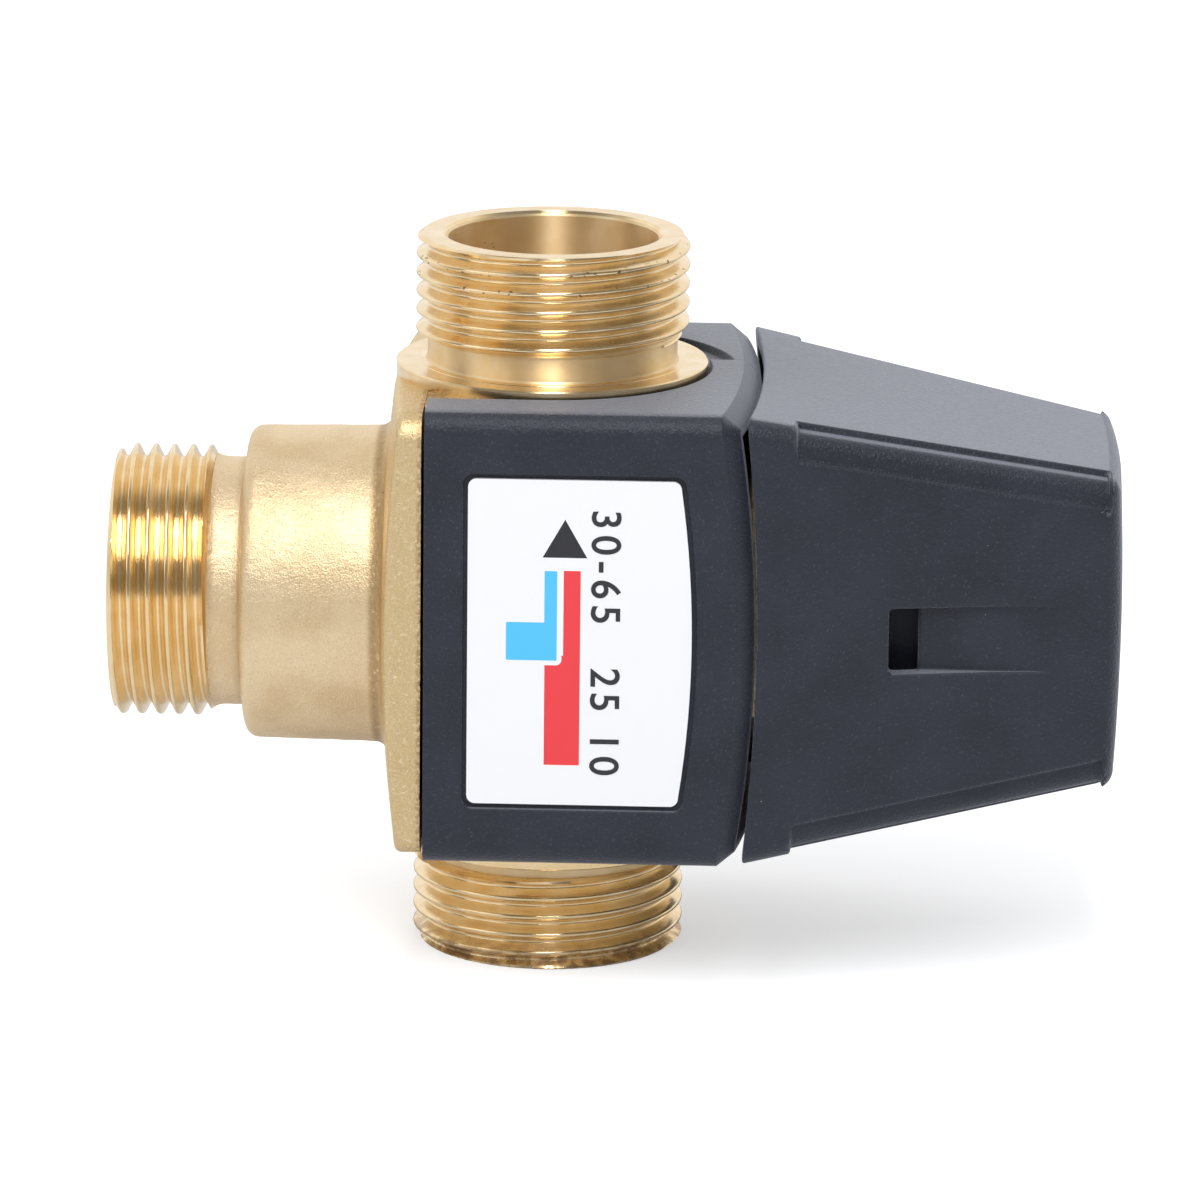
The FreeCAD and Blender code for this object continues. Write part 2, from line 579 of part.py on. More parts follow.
def cold_disc_nut():
    """Hexagon nut on the element's stem."""
    body = new_body("cold_disc_nut")
    corner = "(nut_flats / sqrt(3))"
    points = [(f"{corner} * cos({60 * i})", f"{corner} * sin({60 * i})") for i in range(6)]
    extrude(body, "hexagon", "YZ_Plane", points, "nut_height",
            offset=f"-({COLD_DISC_BACK} + nut_height)")
    hole = "(stem_dia / 2 + fit_gap)"
    near = f"(-({COLD_DISC_BACK} + nut_height) - run_out)"
    far = f"(-{COLD_DISC_BACK} + run_out)"
    revolve(body, "thread_hole", [(near, "0"), (near, hole), (far, hole), (far, "0")],
            kind="Groove")
    return body


def element_piston():
    """The pin that the wax pushes out of the element."""
    body = new_body("element_piston")
    near = f"({PISTON_END} - piston_length)"
    revolve(body, "pin", [(near, "0"), (near, "piston_dia / 2"),
                          (f"{PISTON_END} - edge_break", "piston_dia / 2"),
                          (PISTON_END, "piston_dia / 2 - edge_break"), (PISTON_END, "0")])
    return body


def plunger():
    """The plate that takes the piston's end and rests on the overload spring."""
    body = new_body("plunger")
    socket = "(piston_dia / 2 + fit_gap)"
    revolve(body, "plate", [(PISTON_END, "0"), (PISTON_END, socket), (PLUNGER_FACE, socket),
                            (PLUNGER_FACE, "plunger_dia / 2"), (PLUNGER_BACK, "plunger_dia / 2"),
                            (PLUNGER_BACK, "0")])
    return body


def setting_carrier():
    """The cup that slides in the bonnet, tapped for the setting screw, with two keys."""
    body = new_body("setting_carrier")
    outer = "(carrier_dia / 2)"
    inner = f"({outer} - carrier_wall)"
    tapped = "(screw_dia / 2 + fit_gap)"
    key_near = f"({SPRING_BACK} - key_length)"
    reach = f"({outer} + key_height)"
    extrude(body, "keys", "YZ_Plane",
            box_points(f"-{reach}", "-key_width / 2", reach, "key_width / 2"),
            "key_length", offset=key_near)
    revolve(body, "cup_solid", [(CUP_FACE, "0"), (CUP_FACE, outer), (CARRIER_BACK, outer),
                                (CARRIER_BACK, "0")])
    revolve(body, "cup_hollow",
            [(CUP_FACE, "0"), (CUP_FACE, "lip_hole / 2"), (PLUNGER_FACE, "lip_hole / 2"),
             (PLUNGER_FACE, inner), (SPRING_BACK, inner), (SPRING_BACK, tapped),
             (CARRIER_BACK, tapped), (CARRIER_BACK, "0")], kind="Groove")
    return body


def coil(name, near, far, mean, wire, turns):
    """A compression spring of round wire, its helix lying between the two faces."""
    body = new_body(name)
    helix = body.newObject("PartDesign::AdditiveHelix", "turns")
    mean_radius = f"({mean} / 2)"
    sketch = body.newObject("Sketcher::SketchObject", "wire")
    sketch.AttachmentSupport = [(plane_of(body, "XZ_Plane"), "")]
    sketch.MapMode = "FlatFace"
    centre = FreeCAD.Vector(number(f"{near} + {wire} / 2"), number(mean_radius), 0)
    circle = Part.Circle(centre, FreeCAD.Vector(0, 0, 1), number(f"{wire} / 2"))
    sketch.addGeometry(circle, False)
    rules = (("Radius", (0,), f"{wire} / 2"), ("DistanceX", (0, 3), f"{near} + {wire} / 2"),
             ("DistanceY", (0, 3), mean_radius))
    for kind, where, size in rules:
        rule = sketch.addConstraint(Sketcher.Constraint(kind, *where, number(size)))
        sketch.setExpression(f"Constraints[{rule}]", bound(size))
    helix.Profile = sketch
    helix.ReferenceAxis = (sketch, ["H_Axis"])
    helix.Mode = "height-turns-angle"
    helix.setExpression("Height", bound(f"{far} - ({near}) - {wire}"))
    helix.setExpression("Turns", bound(turns))
    sketch.Visibility = False
    return body


def bonnet():
    """Screwed into the barrel: windowed skirt, seal groove, hexagon, hub and gland."""
    body = new_body("bonnet")
    skirt = "(skirt_dia / 2)"
    plug = "(socket_dia / 2 - fit_gap)"
    slide = "(carrier_dia / 2 + fit_gap)"
    running = "(spindle_dia / 2 + fit_gap)"
    corner = "(hex_flats / sqrt(3))"
    points = [(f"{corner} * sin({60 * i})", f"{corner} * cos({60 * i})") for i in range(6)]
    extrude(body, "hexagon", "YZ_Plane", points, "hex_thick", offset="barrel_reach")
    revolve(body, "turned",
            [(HOT_RING_FACE, "0"),
             (HOT_RING_FACE, skirt),
             ("socket_face", skirt),
             ("socket_face", plug),
             (GROOVE_NEAR, plug),
             (GROOVE_NEAR, f"{plug} - bonnet_groove"),
             ("barrel_reach - bonnet_land", f"{plug} - bonnet_groove"),
             ("barrel_reach - bonnet_land", plug),
             ("barrel_reach", plug),
             (HEX_BACK, "hub_dia / 2"),
             (HUB_END, "hub_dia / 2"),
             (HUB_END, "gland_dia / 2"),
             (f"{GLAND_END} - gland_chamfer", "gland_dia / 2"),
             (GLAND_END, "gland_dia / 2 - gland_chamfer"),
             (GLAND_END, "0")])
    revolve(body, "hollow",
            [(HOT_RING_FACE, "0"),
             (HOT_RING_FACE, f"{skirt} - skirt_wall"),
             (f"{GUIDE_END} - edge_break", f"{skirt} - skirt_wall"),
             (f"{GUIDE_END} - edge_break", slide),
             (THRUST_BACK, slide),
             (THRUST_BACK, running),
             (GLAND_END, running),
             (GLAND_END, "0")], kind="Groove")
    key = "(key_width / 2 + fit_gap)"
    reach = f"({slide} + key_height + fit_gap)"
    keyway_near = f"({GUIDE_END} - edge_break - run_out)"
    extrude(body, "keyways", "YZ_Plane", box_points(f"-{reach}", f"-{key}", reach, key),
            f"{SPRING_BACK} + carrier_travel + key_room - {keyway_near}",
            offset=keyway_near, kind="Pocket", reverse=True)
    window_near = f"({HOT_RING_FACE} + seat_lip + window_rim)"
    windows = extrude(body, "window", "XY_Plane",
                      box_points(window_near, "-window_width / 2",
                                 f"{window_near} + window_length", "window_width / 2"),
                      f"{skirt} + run_out", kind="Pocket", reverse=True)
    around(body, "windows", windows, 4)
    return body


def ring_seal(name, near, width, inner, outer):
    """A rubber ring that fills the middle of its groove."""
    body = new_body(name)
    sketch = body.newObject("Sketcher::SketchObject", "cord")
    sketch.AttachmentSupport = [(plane_of(body, "XZ_Plane"), "")]
    sketch.MapMode = "FlatFace"
    place_x, place_y = f"{near} + {width} / 2", f"({inner} + {outer}) / 2"
    radius = f"(({outer}) - ({inner})) / 2"
    centre = FreeCAD.Vector(number(place_x), number(place_y), 0)
    sketch.addGeometry(Part.Circle(centre, FreeCAD.Vector(0, 0, 1), number(radius)), False)
    for kind, where, size in (("Radius", (0,), radius), ("DistanceX", (0, 3), place_x),
                              ("DistanceY", (0, 3), place_y)):
        rule = sketch.addConstraint(Sketcher.Constraint(kind, *where, number(size)))
        sketch.setExpression(f"Constraints[{rule}]", bound(size))
    turned = feature(body, "Revolution", "ring", sketch)
    turned.ReferenceAxis = (sketch, ["H_Axis"])
    turned.Angle = 360
    return body


def spindle():
    """Setting screw, thrust collar, two seal grooves, clip groove and a slotted square head."""
    body = new_body("spindle")
    running = "(spindle_dia / 2)"
    floor = f"({running} - seal_groove)"
    neck = f"({running} - clip_groove)"
    revolve(body, "turned",
            [(f"{CARRIER_BACK} - screw_length", "0"),
             (f"{CARRIER_BACK} - screw_length", "screw_dia / 2 - edge_break"),
             (f"{CARRIER_BACK} - screw_length + edge_break", "screw_dia / 2"),
             (THRUST_FACE, "screw_dia / 2"),
             (THRUST_FACE, "thrust_dia / 2"),
             (THRUST_BACK, "thrust_dia / 2"),
             (THRUST_BACK, running),
             (FIRST_SEAL, running),
             (FIRST_SEAL, floor),
             (f"{FIRST_SEAL} + seal_width", floor),
             (f"{FIRST_SEAL} + seal_width", running),
             (SECOND_SEAL, running),
             (SECOND_SEAL, floor),
             (f"{SECOND_SEAL} + seal_width", floor),
             (f"{SECOND_SEAL} + seal_width", running),
             (GLAND_END, running),
             (GLAND_END, neck),
             (CLIP_BACK, neck),
             (CLIP_BACK, running),
             (f"{HEAD_END} - edge_break", running),
             (HEAD_END, f"{running} - edge_break"),
             (HEAD_END, "0")])
    flat = "(head_flats / 2)"
    side = extrude(body, "head_flat", "YZ_Plane",
                   box_points(flat, f"-{running}", f"{running} + run_out", running),
                   "head_length - head_collar", offset=f"{CLIP_BACK} + head_collar",
                   kind="Pocket", reverse=True)
    around(body, "head_square", side, 4)
    extrude(body, "head_slot", "YZ_Plane",
            box_points(f"-{running} - run_out", "-slot_width / 2", f"{running} + run_out",
                       "slot_width / 2"),
            "slot_depth + run_out", offset=f"{HEAD_END} - slot_depth", kind="Pocket",
            reverse=True)
    return body


def cap_ring():
    """The plastic ring on the bonnet's hub that the cap's sleeve slides over."""
    body = new_body("cap_ring")
    revolve(body, "ring", [(RING_NEAR, "hub_dia / 2"), (RING_NEAR, "ring_dia / 2"),
                           (f"{RING_FAR} - ring_lead", "ring_dia / 2"),
                           (RING_FAR, "ring_dia / 2 - ring_lead_depth"),
                           (RING_FAR, "hub_dia / 2")])
    return body


def label_points(gap):
    """The label's outline, or that of its recess with a gap all round."""
    left, right, high = f"(-label_left - {gap})", f"(label_right + {gap})", f"(label_high + {gap})"
    turn, bow = f"(label_round + {gap} / 2)", f"(label_bow_radius + {gap})"
    return [(f"{right} - {turn}", f"-{high}"),
            (right, f"-{high} + {turn}", turn),
            (right, f"{high} - {turn}", bow),
            (f"{right} - {turn}", high, turn),
            (f"{left} + {turn}", high),
            (left, f"{high} - {turn}", turn),
            (left, f"-{high} + {turn}"),
            (f"{left} + {turn}", f"-{high}", turn)]


def label():
    """The printed plate in the front cover's recess."""
    body = new_body("label")
    extrude(body, "plate", "XZ_Plane", label_points("0"), "label_thick",
            offset=f"{LABEL_FACE} - label_thick")
    return body


def half_cover(name, side):
    """One half of the plastic cover: side is -1 for the front half and 1 for the rear half."""
    body = new_body(name)
    face = f"({side} * {COVER})"
    inside = f"({side} * {COVER_INSIDE})"
    extrude(body, "block", "YZ_Plane", box_points("parting", f"-{COVER}", face, COVER),
            "cover_left + cover_reach", offset="-cover_left")
    dress(body, "Fillet", "long_edges", "cover_round",
          lambda edge: runs_along_x(edge) and edge.CenterOfMass.y * side > 10)
    outer = "(0.8 * cover_size)"
    revolve(body, "bowed_end",
            [("cover_reach", "0"),
             (sphere_edge("cover_reach", "cover_bow_radius", outer), outer, "cover_bow_radius"),
             ("cover_reach + run_out", outer), ("cover_reach + run_out", "0")], kind="Groove")
    middle = number("0.7 * cover_reach")
    seam = number("parting")
    dress(body, "Chamfer", "end_bevel", "cover_bevel",
          lambda edge: (edge.CenterOfMass.x > middle and not runs_along_x(edge)
                        and max(abs(v.Y - seam) for v in edge.Vertexes) > 0.1))
    extrude(body, "hollow", "YZ_Plane",
            box_points("parting", f"-{COVER_INSIDE}", inside, COVER_INSIDE),
            "cover_left + cover_reach + run_out", offset="-cover_left", kind="Pocket",
            reverse=True)
    for rib, near in (("near_rib", "-rib_near"), ("far_rib", "(rib_far - rib_thick)")):
        extrude(body, rib, "YZ_Plane",
                box_points("parting", f"-{COVER_INSIDE}", inside, COVER_INSIDE),
                "rib_thick", offset=near)
    saddle = f"({BARREL} + fit_gap)"
    revolve(body, "saddles",
            box_points("-rib_near - run_out", "0", "rib_far + run_out", saddle), kind="Groove")
    wide = "(shoulder_width / 2 + collar_gap)"
    open_end = "(-cover_left - run_out)"
    for end, way in (("top", ""), ("bottom", "-")):
        cut = [("0", f"-{wide}"), (wide, "0", wide), ("0", wide, wide), (open_end, wide),
               (open_end, f"-{wide}")]
        extrude(body, f"{end}_cut", "XY_Plane", cut, f"{COVER} - shoulder_foot + collar_gap",
                offset=f"{way}{COVER}", kind="Pocket", reverse=way == "-")
        if side == 1:
            broad = f"({wide} + ledge_width)"
            ledge = [("0", f"-{broad}"), (broad, "0", broad), ("0", broad, broad),
                     (open_end, broad), (open_end, f"-{broad}")]
            extrude(body, f"{end}_ledge", "XY_Plane", ledge, "ledge_drop",
                    offset=f"{way}{COVER}", kind="Pocket", reverse=way == "-")
    if side == -1:
        extrude(body, "label_recess", "XZ_Plane", label_points("label_gap"),
                "label_sink + label_thick", offset=COVER, kind="Pocket")
    return body


def half_width(place):
    """Half the cap's outside width at that place along the axis."""
    return f"(cap_size / 2 - cap_draft * ({place} - {CAP_EDGE}))"


def taper(body, kind, name, near, far, points_at):
    """A loft between two outlines of one shape, drawn at two places along the axis."""
    ends = [outline(body, f"{name}_{end}", "YZ_Plane", points_at(place), place)
            for end, place in (("near", near), ("far", far))]
    loft = feature(body, kind, name, ends[0])
    loft.Sections = [ends[1]]
    loft.Ruled = True
    ends[1].Visibility = False
    return loft


def square_at(wall):
    """Makes the cap's square section, in from its outside by the wall."""
    def points(place):
        half = f"({half_width(place)} - {wall})"
        return box_points(f"-{half}", f"-{half}", half, half)
    return points


def rebate_at(place):
    """The corner strip that each rebate takes away, with its rounded inner corner."""
    out = f"({half_width(place)} + run_out)"
    floor = f"({half_width(place)} - rebate_depth)"
    edge = f"({half_width(place)} - rebate_width)"
    turn = "(cap_round - rebate_depth / 2)"
    return [(out, edge), (out, out), (edge, out), (edge, floor), (f"{floor} - {turn}", floor),
            (floor, f"{floor} - {turn}", f"-{turn}"), (floor, edge)]


def setting_cap():
    """The square, tapering cap that hides the spindle, with its release slot and its sleeve."""
    body = new_body("setting_cap")
    before = f"({CAP_EDGE} - 2 * run_out)"
    beyond = f"({CAP_END} + 2 * run_out)"
    taper(body, "AdditiveLoft", "outside", before, f"{CAP_END} + run_out", square_at("0"))
    outer = "(0.8 * cap_size)"
    revolve(body, "domed_end",
            [(CAP_END, "0"),
             (sphere_edge(CAP_END, "cap_dome_radius", outer), outer, "cap_dome_radius"),
             (beyond, outer), (beyond, "0")], kind="Groove")
    middle = number(f"({CAP_EDGE} + {CAP_END}) / 3")
    dress(body, "Fillet", "outer_edges", "cap_round", lambda edge: edge.CenterOfMass.x > middle)
    revolve(body, "bowed_edge",
            [(f"{before} - run_out", "0"), (CAP_BOW, "0"),
             (sphere_edge(CAP_BOW, "cap_bow_radius", outer), outer, "cap_bow_radius"),
             (f"{before} - run_out", outer)], kind="Groove")
    taper(body, "SubtractiveLoft", "hollow", f"({before} - run_out)", CAP_INSIDE,
          square_at("cap_wall"))
    rebate = taper(body, "SubtractiveLoft", "rebate", f"({CAP_EDGE} + rebate_from_edge)",
                   f"({CAP_END} - rebate_from_end)", rebate_at)
    around(body, "rebates", rebate, 4)
    ramp_foot = f"(-{half_width(SLOT_FAR)} + ramp_depth)"
    inside = f"(-{half_width(SLOT_FAR)} + cap_wall + run_out)"
    outside = f"(-{half_width(SLOT_NEAR)} - 2 * run_out)"
    slot = extrude(body, "release", "XY_Plane",
                   [(SLOT_NEAR, outside), (RAMP_END, outside),
                    (RAMP_END, f"-{half_width(RAMP_END)}"), (SLOT_FAR, ramp_foot),
                    (SLOT_FAR, inside), (SLOT_NEAR, inside)],
                   "release_width", kind="Pocket")
    slot.Midplane = True
    inner = "(ring_dia / 2 + fit_gap)"
    sleeve = box_points(f"{RING_NEAR} + ring_bare", inner, f"{CAP_INSIDE} + sleeve_root",
                        f"{inner} + sleeve_wall")
    revolve(body, "sleeve", sleeve)
    return body


PIECES = [valve_body(), cold_seat_ring(), hot_seat_ring(), hot_disc(), cold_disc(),
          wax_element(), clip("element_clip", HOT_DISC_BACK, "guide_dia"), cold_disc_nut(),
          element_piston(), plunger(), setting_carrier()]
PIECES.append(coil("return_spring", "-cold_wall", HOT_DISC_FACE, "return_coil", "return_wire",
                   "return_turns"))
PIECES.append(coil("overload_spring", PLUNGER_BACK, SPRING_BACK, "overload_coil",
                   "overload_wire", "overload_turns"))
PIECES += [bonnet(), spindle(), clip("spindle_clip", GLAND_END, "spindle_dia"), cap_ring()]
PIECES.append(ring_seal("bonnet_seal", GROOVE_NEAR, "bonnet_groove_width",
                        "socket_dia / 2 - fit_gap - bonnet_groove", "socket_dia / 2 - seal_gap"))
for name, near in (("inner_spindle_seal", FIRST_SEAL), ("outer_spindle_seal", SECOND_SEAL)):
    PIECES.append(ring_seal(name, near, "seal_width", "spindle_dia / 2 - seal_groove",
                            "spindle_dia / 2 + fit_gap - seal_gap"))
PIECES += [half_cover("front_cover", -1), half_cover("rear_cover", 1), label(), setting_cap()]

doc.recompute()
faults = [item.Label for item in doc.Objects if "Invalid" in item.State or "Error" in item.State]
faults += [piece.Label for piece in PIECES if piece.Shape.isNull() or not piece.Shape.isValid()]
if faults:
    raise RuntimeError("not built: " + ", ".join(faults))
os.makedirs("parts", exist_ok=True)
for piece in PIECES:
    piece.Shape.exportStep(f"parts/{piece.Label}.step")
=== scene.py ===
"""Looks of the thermostatic mixing valve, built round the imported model.

Lengths in this file are in millimetres until mm() turns them into metres. The frame is the
model's own: the origin is the centre of the hot inlet's end face, +Z runs up to the mixed
outlet and +X along the cartridge to the cap.
"""

import bmesh
import bpy
import math
from mathutils import Matrix, Vector, noise


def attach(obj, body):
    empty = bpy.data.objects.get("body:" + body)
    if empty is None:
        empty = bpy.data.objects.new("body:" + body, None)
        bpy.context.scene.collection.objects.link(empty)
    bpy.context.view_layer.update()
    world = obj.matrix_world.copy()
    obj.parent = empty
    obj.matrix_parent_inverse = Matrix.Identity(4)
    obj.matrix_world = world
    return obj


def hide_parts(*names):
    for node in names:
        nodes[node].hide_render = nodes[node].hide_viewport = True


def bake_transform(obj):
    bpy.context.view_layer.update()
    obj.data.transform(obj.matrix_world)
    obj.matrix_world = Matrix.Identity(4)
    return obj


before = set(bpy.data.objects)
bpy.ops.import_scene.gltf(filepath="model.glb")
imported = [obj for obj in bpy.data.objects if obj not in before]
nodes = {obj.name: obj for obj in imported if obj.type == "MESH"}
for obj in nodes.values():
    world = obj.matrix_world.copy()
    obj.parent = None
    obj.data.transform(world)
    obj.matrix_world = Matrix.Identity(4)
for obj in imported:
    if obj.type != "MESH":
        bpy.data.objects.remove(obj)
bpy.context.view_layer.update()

# ---------------------------------------------------------------- camera
# A long lens far in front of the valve and a little above it, looking slightly down on the
# labelled side. The picture's upright leans by a fraction of a degree.
AXIS_HEIGHT = 35.0
CAMERA_PLACE = (27.86, -707.9, AXIS_HEIGHT + 180.25)
CAMERA_YAW, CAMERA_PITCH, CAMERA_ROLL = -1.864, -14.378, 0.62
FIELD_OF_VIEW = 9.104


def mm(*place):
    """A place given in millimetres, as a vector in metres."""
    return Vector(place) * 0.001


yaw, pitch, roll = (math.radians(a) for a in (CAMERA_YAW, CAMERA_PITCH, CAMERA_ROLL))
forward = Vector((math.sin(yaw) * math.cos(pitch), math.cos(yaw) * math.cos(pitch), math.sin(pitch)))
level = forward.cross(Vector((0, 0, 1))).normalized()
upright = level.cross(forward)
right = level * math.cos(roll) + upright * math.sin(roll)
above = upright * math.cos(roll) - level * math.sin(roll)
camera = bpy.data.objects.new("camera", bpy.data.cameras.new("camera"))
camera.data.angle = math.radians(FIELD_OF_VIEW)
camera.data.clip_start = 0.01
turn = Matrix((right, above, -forward)).transposed()
camera.matrix_world = Matrix.Translation(mm(*CAMERA_PLACE)) @ turn.to_4x4()
bpy.context.scene.collection.objects.link(camera)
bpy.context.scene.camera = camera
bpy.context.scene.view_settings.view_transform = "Standard"


# ---------------------------------------------------------------- shader arithmetic
# Finishes are written as sums of sockets. Each sign adds a Math node, and every other node comes
# from Finish.add().
class Wire:
    """A shader socket that can stand in a sum: each operator adds its Math node."""

    def __init__(self, tree, socket):
        self.tree = tree
        self.socket = socket

    def maths(self, operation, *terms):
        """A Math node on this socket and the other terms."""
        made = self.tree.nodes.new("ShaderNodeMath")
        made.operation = operation
        for slot, term in zip(made.inputs, terms):
            if isinstance(term, Wire):
                self.tree.links.new(term.socket, slot)
            else:
                slot.default_value = term
        return Wire(self.tree, made.outputs[0])

    def __add__(self, other):
        return self.maths("ADD", self, other)

    def __sub__(self, other):
        return self.maths("SUBTRACT", self, other)

    def __rsub__(self, other):
        return self.maths("SUBTRACT", other, self)

    def __mul__(self, other):
        return self.maths("MULTIPLY", self, other)

    def __abs__(self):
        return self.maths("ABSOLUTE", self)

    def __gt__(self, other):
        return self.maths("GREATER_THAN", self, other)

    def __lt__(self, other):
        return self.maths("LESS_THAN", self, other)

    def power(self, exponent):
        """This socket to a power."""
        return self.maths("POWER", self, exponent)

    def between(self, low, high):
        """0 below low, 1 above high, and a soft step between them."""
        made = self.tree.nodes.new("ShaderNodeMapRange")
        made.interpolation_type = "SMOOTHSTEP"
        made.inputs["From Min"].default_value = low
        made.inputs["From Max"].default_value = high
        self.tree.links.new(self.socket, made.inputs["Value"])
        return Wire(self.tree, made.outputs["Result"])

    __radd__ = __add__
    __rmul__ = __mul__


class Finish:
    """One material or world and its nodes."""

    def __init__(self, owner):
        self.owner = owner
        owner.use_nodes = True
        self.tree = owner.node_tree
        self.tree.nodes.clear()

    def add(self, kind, sockets=None, out=0, **settings):
        """A node of this kind: its settings first, then its sockets' values or links."""
        made = self.tree.nodes.new("ShaderNode" + kind)
        for name, value in settings.items():
            setattr(made, name, value)
        for name, value in (sockets or {}).items():
            if isinstance(value, Wire):
                self.tree.links.new(value.socket, made.inputs[name])
            elif isinstance(value, tuple) and made.inputs[name].type == "RGBA":
                made.inputs[name].default_value = (*value, 1)
            else:
                made.inputs[name].default_value = value
        return Wire(self.tree, made.outputs[out]) if made.outputs else None

    def place(self):
        """The point's place in the model's frame, in metres."""
        return self.add("TexCoord", out="Object")

    def along(self):
        """The point's X, Y and Z, each in millimetres."""
        made = self.add("SeparateXYZ", {"Vector": self.place()})
        return tuple(Wire(self.tree, made.socket.node.outputs[i]) * 1000 for i in range(3))

    def grain(self, size, detail=2.0, rough=0.5):
        """Even noise whose lumps are about size millimetres across."""
        return self.add("TexNoise", {"Vector": self.place(), "Scale": 1000 / size, "Detail": detail,
                                     "Roughness": rough}, out="Fac")

    def specks(self, spacing, radius, share):
        """Sparse round spots: one for that share of the cells, each cell spacing wide."""
        cell = {"Vector": self.place(), "Scale": 1000 / spacing}
        near = self.add("TexVoronoi", cell, out="Distance")
        tint = self.add("TexVoronoi", cell, out="Color")
        pick = self.add("SeparateColor", {"Color": tint})
        return (near < radius / spacing) * (pick < share)

    def mix(self, share, first, second):
        """One colour where the share is 0, the other where it is 1."""
        made = self.tree.nodes.new("ShaderNodeMix")
        made.data_type = "RGBA"
        for name, value in (("Factor", share), ("A", first), ("B", second)):
            slot = next(s for s in made.inputs if s.name == name and s.type in ("RGBA", "VALUE")
                        and (s.type == "VALUE") == (name == "Factor"))
            if isinstance(value, Wire):
                self.tree.links.new(value.socket, slot)
            else:
                slot.default_value = value if name == "Factor" else (*value, 1)
        return Wire(self.tree, next(s for s in made.outputs if s.type == "RGBA"))

    def bump(self, height, depth, under=None):
        """Relief of that depth in millimetres."""
        sockets = {"Height": height, "Distance": depth * 0.001, "Strength": 1.0}
        if under is not None:
            sockets["Normal"] = under
        return self.add("Bump", sockets)

    def surface(self, shader):
        """Sends a shader to the surface output."""
        kind = "OutputWorld" if isinstance(self.owner, bpy.types.World) else "OutputMaterial"
        self.add(kind, {"Surface": shader})
        return self.owner


def finish(name):
    """A new material with an empty node tree."""
    return Finish(bpy.data.materials.new(name))


# ---------------------------------------------------------------- floor, air and lamps
# A white sweep in a white tent. The tent is open towards the camera and overhead, where the room
# is dark. A tall strip softbox hangs in that opening and a wide, weaker one stands to the left.
FLOOR_WIDE = 6000
PAPER = (0.60, 0.605, 0.62)
PAPER_GLOW, ROOM_GLOW = 0.50, 0.24

paper = finish("white_sweep")
scuffs = paper.specks(34.0, 0.5, 0.10) + paper.specks(11.0, 0.25, 0.05)
matt = paper.add("BsdfDiffuse", {"Color": paper.mix(scuffs, PAPER, (0.42, 0.42, 0.44))})
lit = paper.add("Emission", {"Color": (1, 1, 1), "Strength": PAPER_GLOW})
glow = paper.add("AddShader", {0: matt, 1: lit})
seen = paper.add("LightPath", out="Is Camera Ray")
paper.surface(paper.add("MixShader", {0: seen, 1: matt, 2: glow}))
half = FLOOR_WIDE / 2
sweep = bpy.data.meshes.new("floor")
corners = [mm(-half, -half, 0), mm(half, -half, 0), mm(half, half, 0), mm(-half, half, 0)]
sweep.from_pydata(corners, [], [(0, 1, 2, 3)])
sweep.materials.append(paper.owner)
floor = bpy.data.objects.new("floor", sweep)
bpy.context.scene.collection.objects.link(floor)

air = Finish(bpy.data.worlds.new("studio"))
bpy.context.scene.world = air.owner
way = air.add("SeparateXYZ", {"Vector": air.add("TexCoord", out="Generated")})
behind = Wire(air.tree, way.socket.node.outputs[1]).between(0.0, 0.45)
shining = air.add("LightPath", out="Is Glossy Ray")
tent = air.add("Background", {"Color": (1, 1, 1), "Strength": 1.0})
room = air.add("Background", {"Color": (1, 1, 1), "Strength": ROOM_GLOW})
air.surface(air.add("MixShader", {0: shining * (1 - behind), 1: tent, 2: room}))


def lamp(name, lift, turn, away, wide, high, brightness):
    """A flat softbox that faces the valve from that height angle and compass turn."""
    light = bpy.data.lights.new(name, "AREA")
    light.shape = "RECTANGLE"
    light.size = wide * 0.001
    light.size_y = high * 0.001
    light.energy = brightness * math.pi * light.size * light.size_y
    up, round_ = math.radians(lift), math.radians(turn)
    out = Vector((math.sin(round_) * math.cos(up), -math.cos(round_) * math.cos(up), math.sin(up)))
    made = bpy.data.objects.new(name, light)
    made.location = mm(0, 0, AXIS_HEIGHT) + out * away * 0.001
    made.rotation_euler = out.to_track_quat("Z", "Y").to_euler()
    made.visible_camera = False
    bpy.context.scene.collection.objects.link(made)


lamp("strip", lift=53, turn=1, away=900, wide=235, high=600, brightness=10.8)
lamp("left_panel", lift=32, turn=-62, away=1200, wide=900, high=900, brightness=1.15)

# ---------------------------------------------------------------- cast brass
# The body is poured in sand, so its skin is pale, matt and finely pitted. The flange's face is a
# little yellower and its edge by the covers is ragged. The inner corners carry painted brown shade,
# and painted glints speckle the skin, most on the flange.
cast = finish("cast_brass")
sand = cast.grain(0.17, 2, 0.6)
grit = cast.grain(0.5, 2)
lumps = cast.grain(1.6, 2)
patches = cast.grain(6.0, 2)
cx, cy, cz = cast.along()
spread = (cy * cy + (cz - AXIS_HEIGHT) * (cz - AXIS_HEIGHT)).power(0.5)
pits = cast.specks(2.6, 0.15, 0.10) + cast.specks(4.4, 0.24, 0.12)
tone = cast.mix(patches.between(0.35, 0.65), (0.77, 0.585, 0.35), (0.85, 0.67, 0.43))
tone = cast.mix((cx + 17.2).between(0.0, 0.9) * 0.8, tone, (0.72, 0.54, 0.28))
tone = cast.mix(sand.between(0.55, 0.74) * 0.5, tone, (0.98, 0.88, 0.68))
tone = cast.mix(sand.between(0.50, 0.30) * 0.25, tone, (0.50, 0.35, 0.17))
# Painted shade: a brown darkening in the inner corners, where the boss meets the flange and the side
# neck.
flange_corner_shade = abs(cx + 16.2).between(0.8, 0.1) * spread.between(17.0, 16.0) * (0.6 + grit)
neck_corner_shade = abs(spread - 12.6).between(0.9, 0.1) * abs(cx + 29.35).between(0.9, 0.3)
painted_crease_shade = flange_corner_shade + neck_corner_shade
edge = (cx + 11.9).between(-0.1, 0.35) * grit.between(0.42, 0.55)
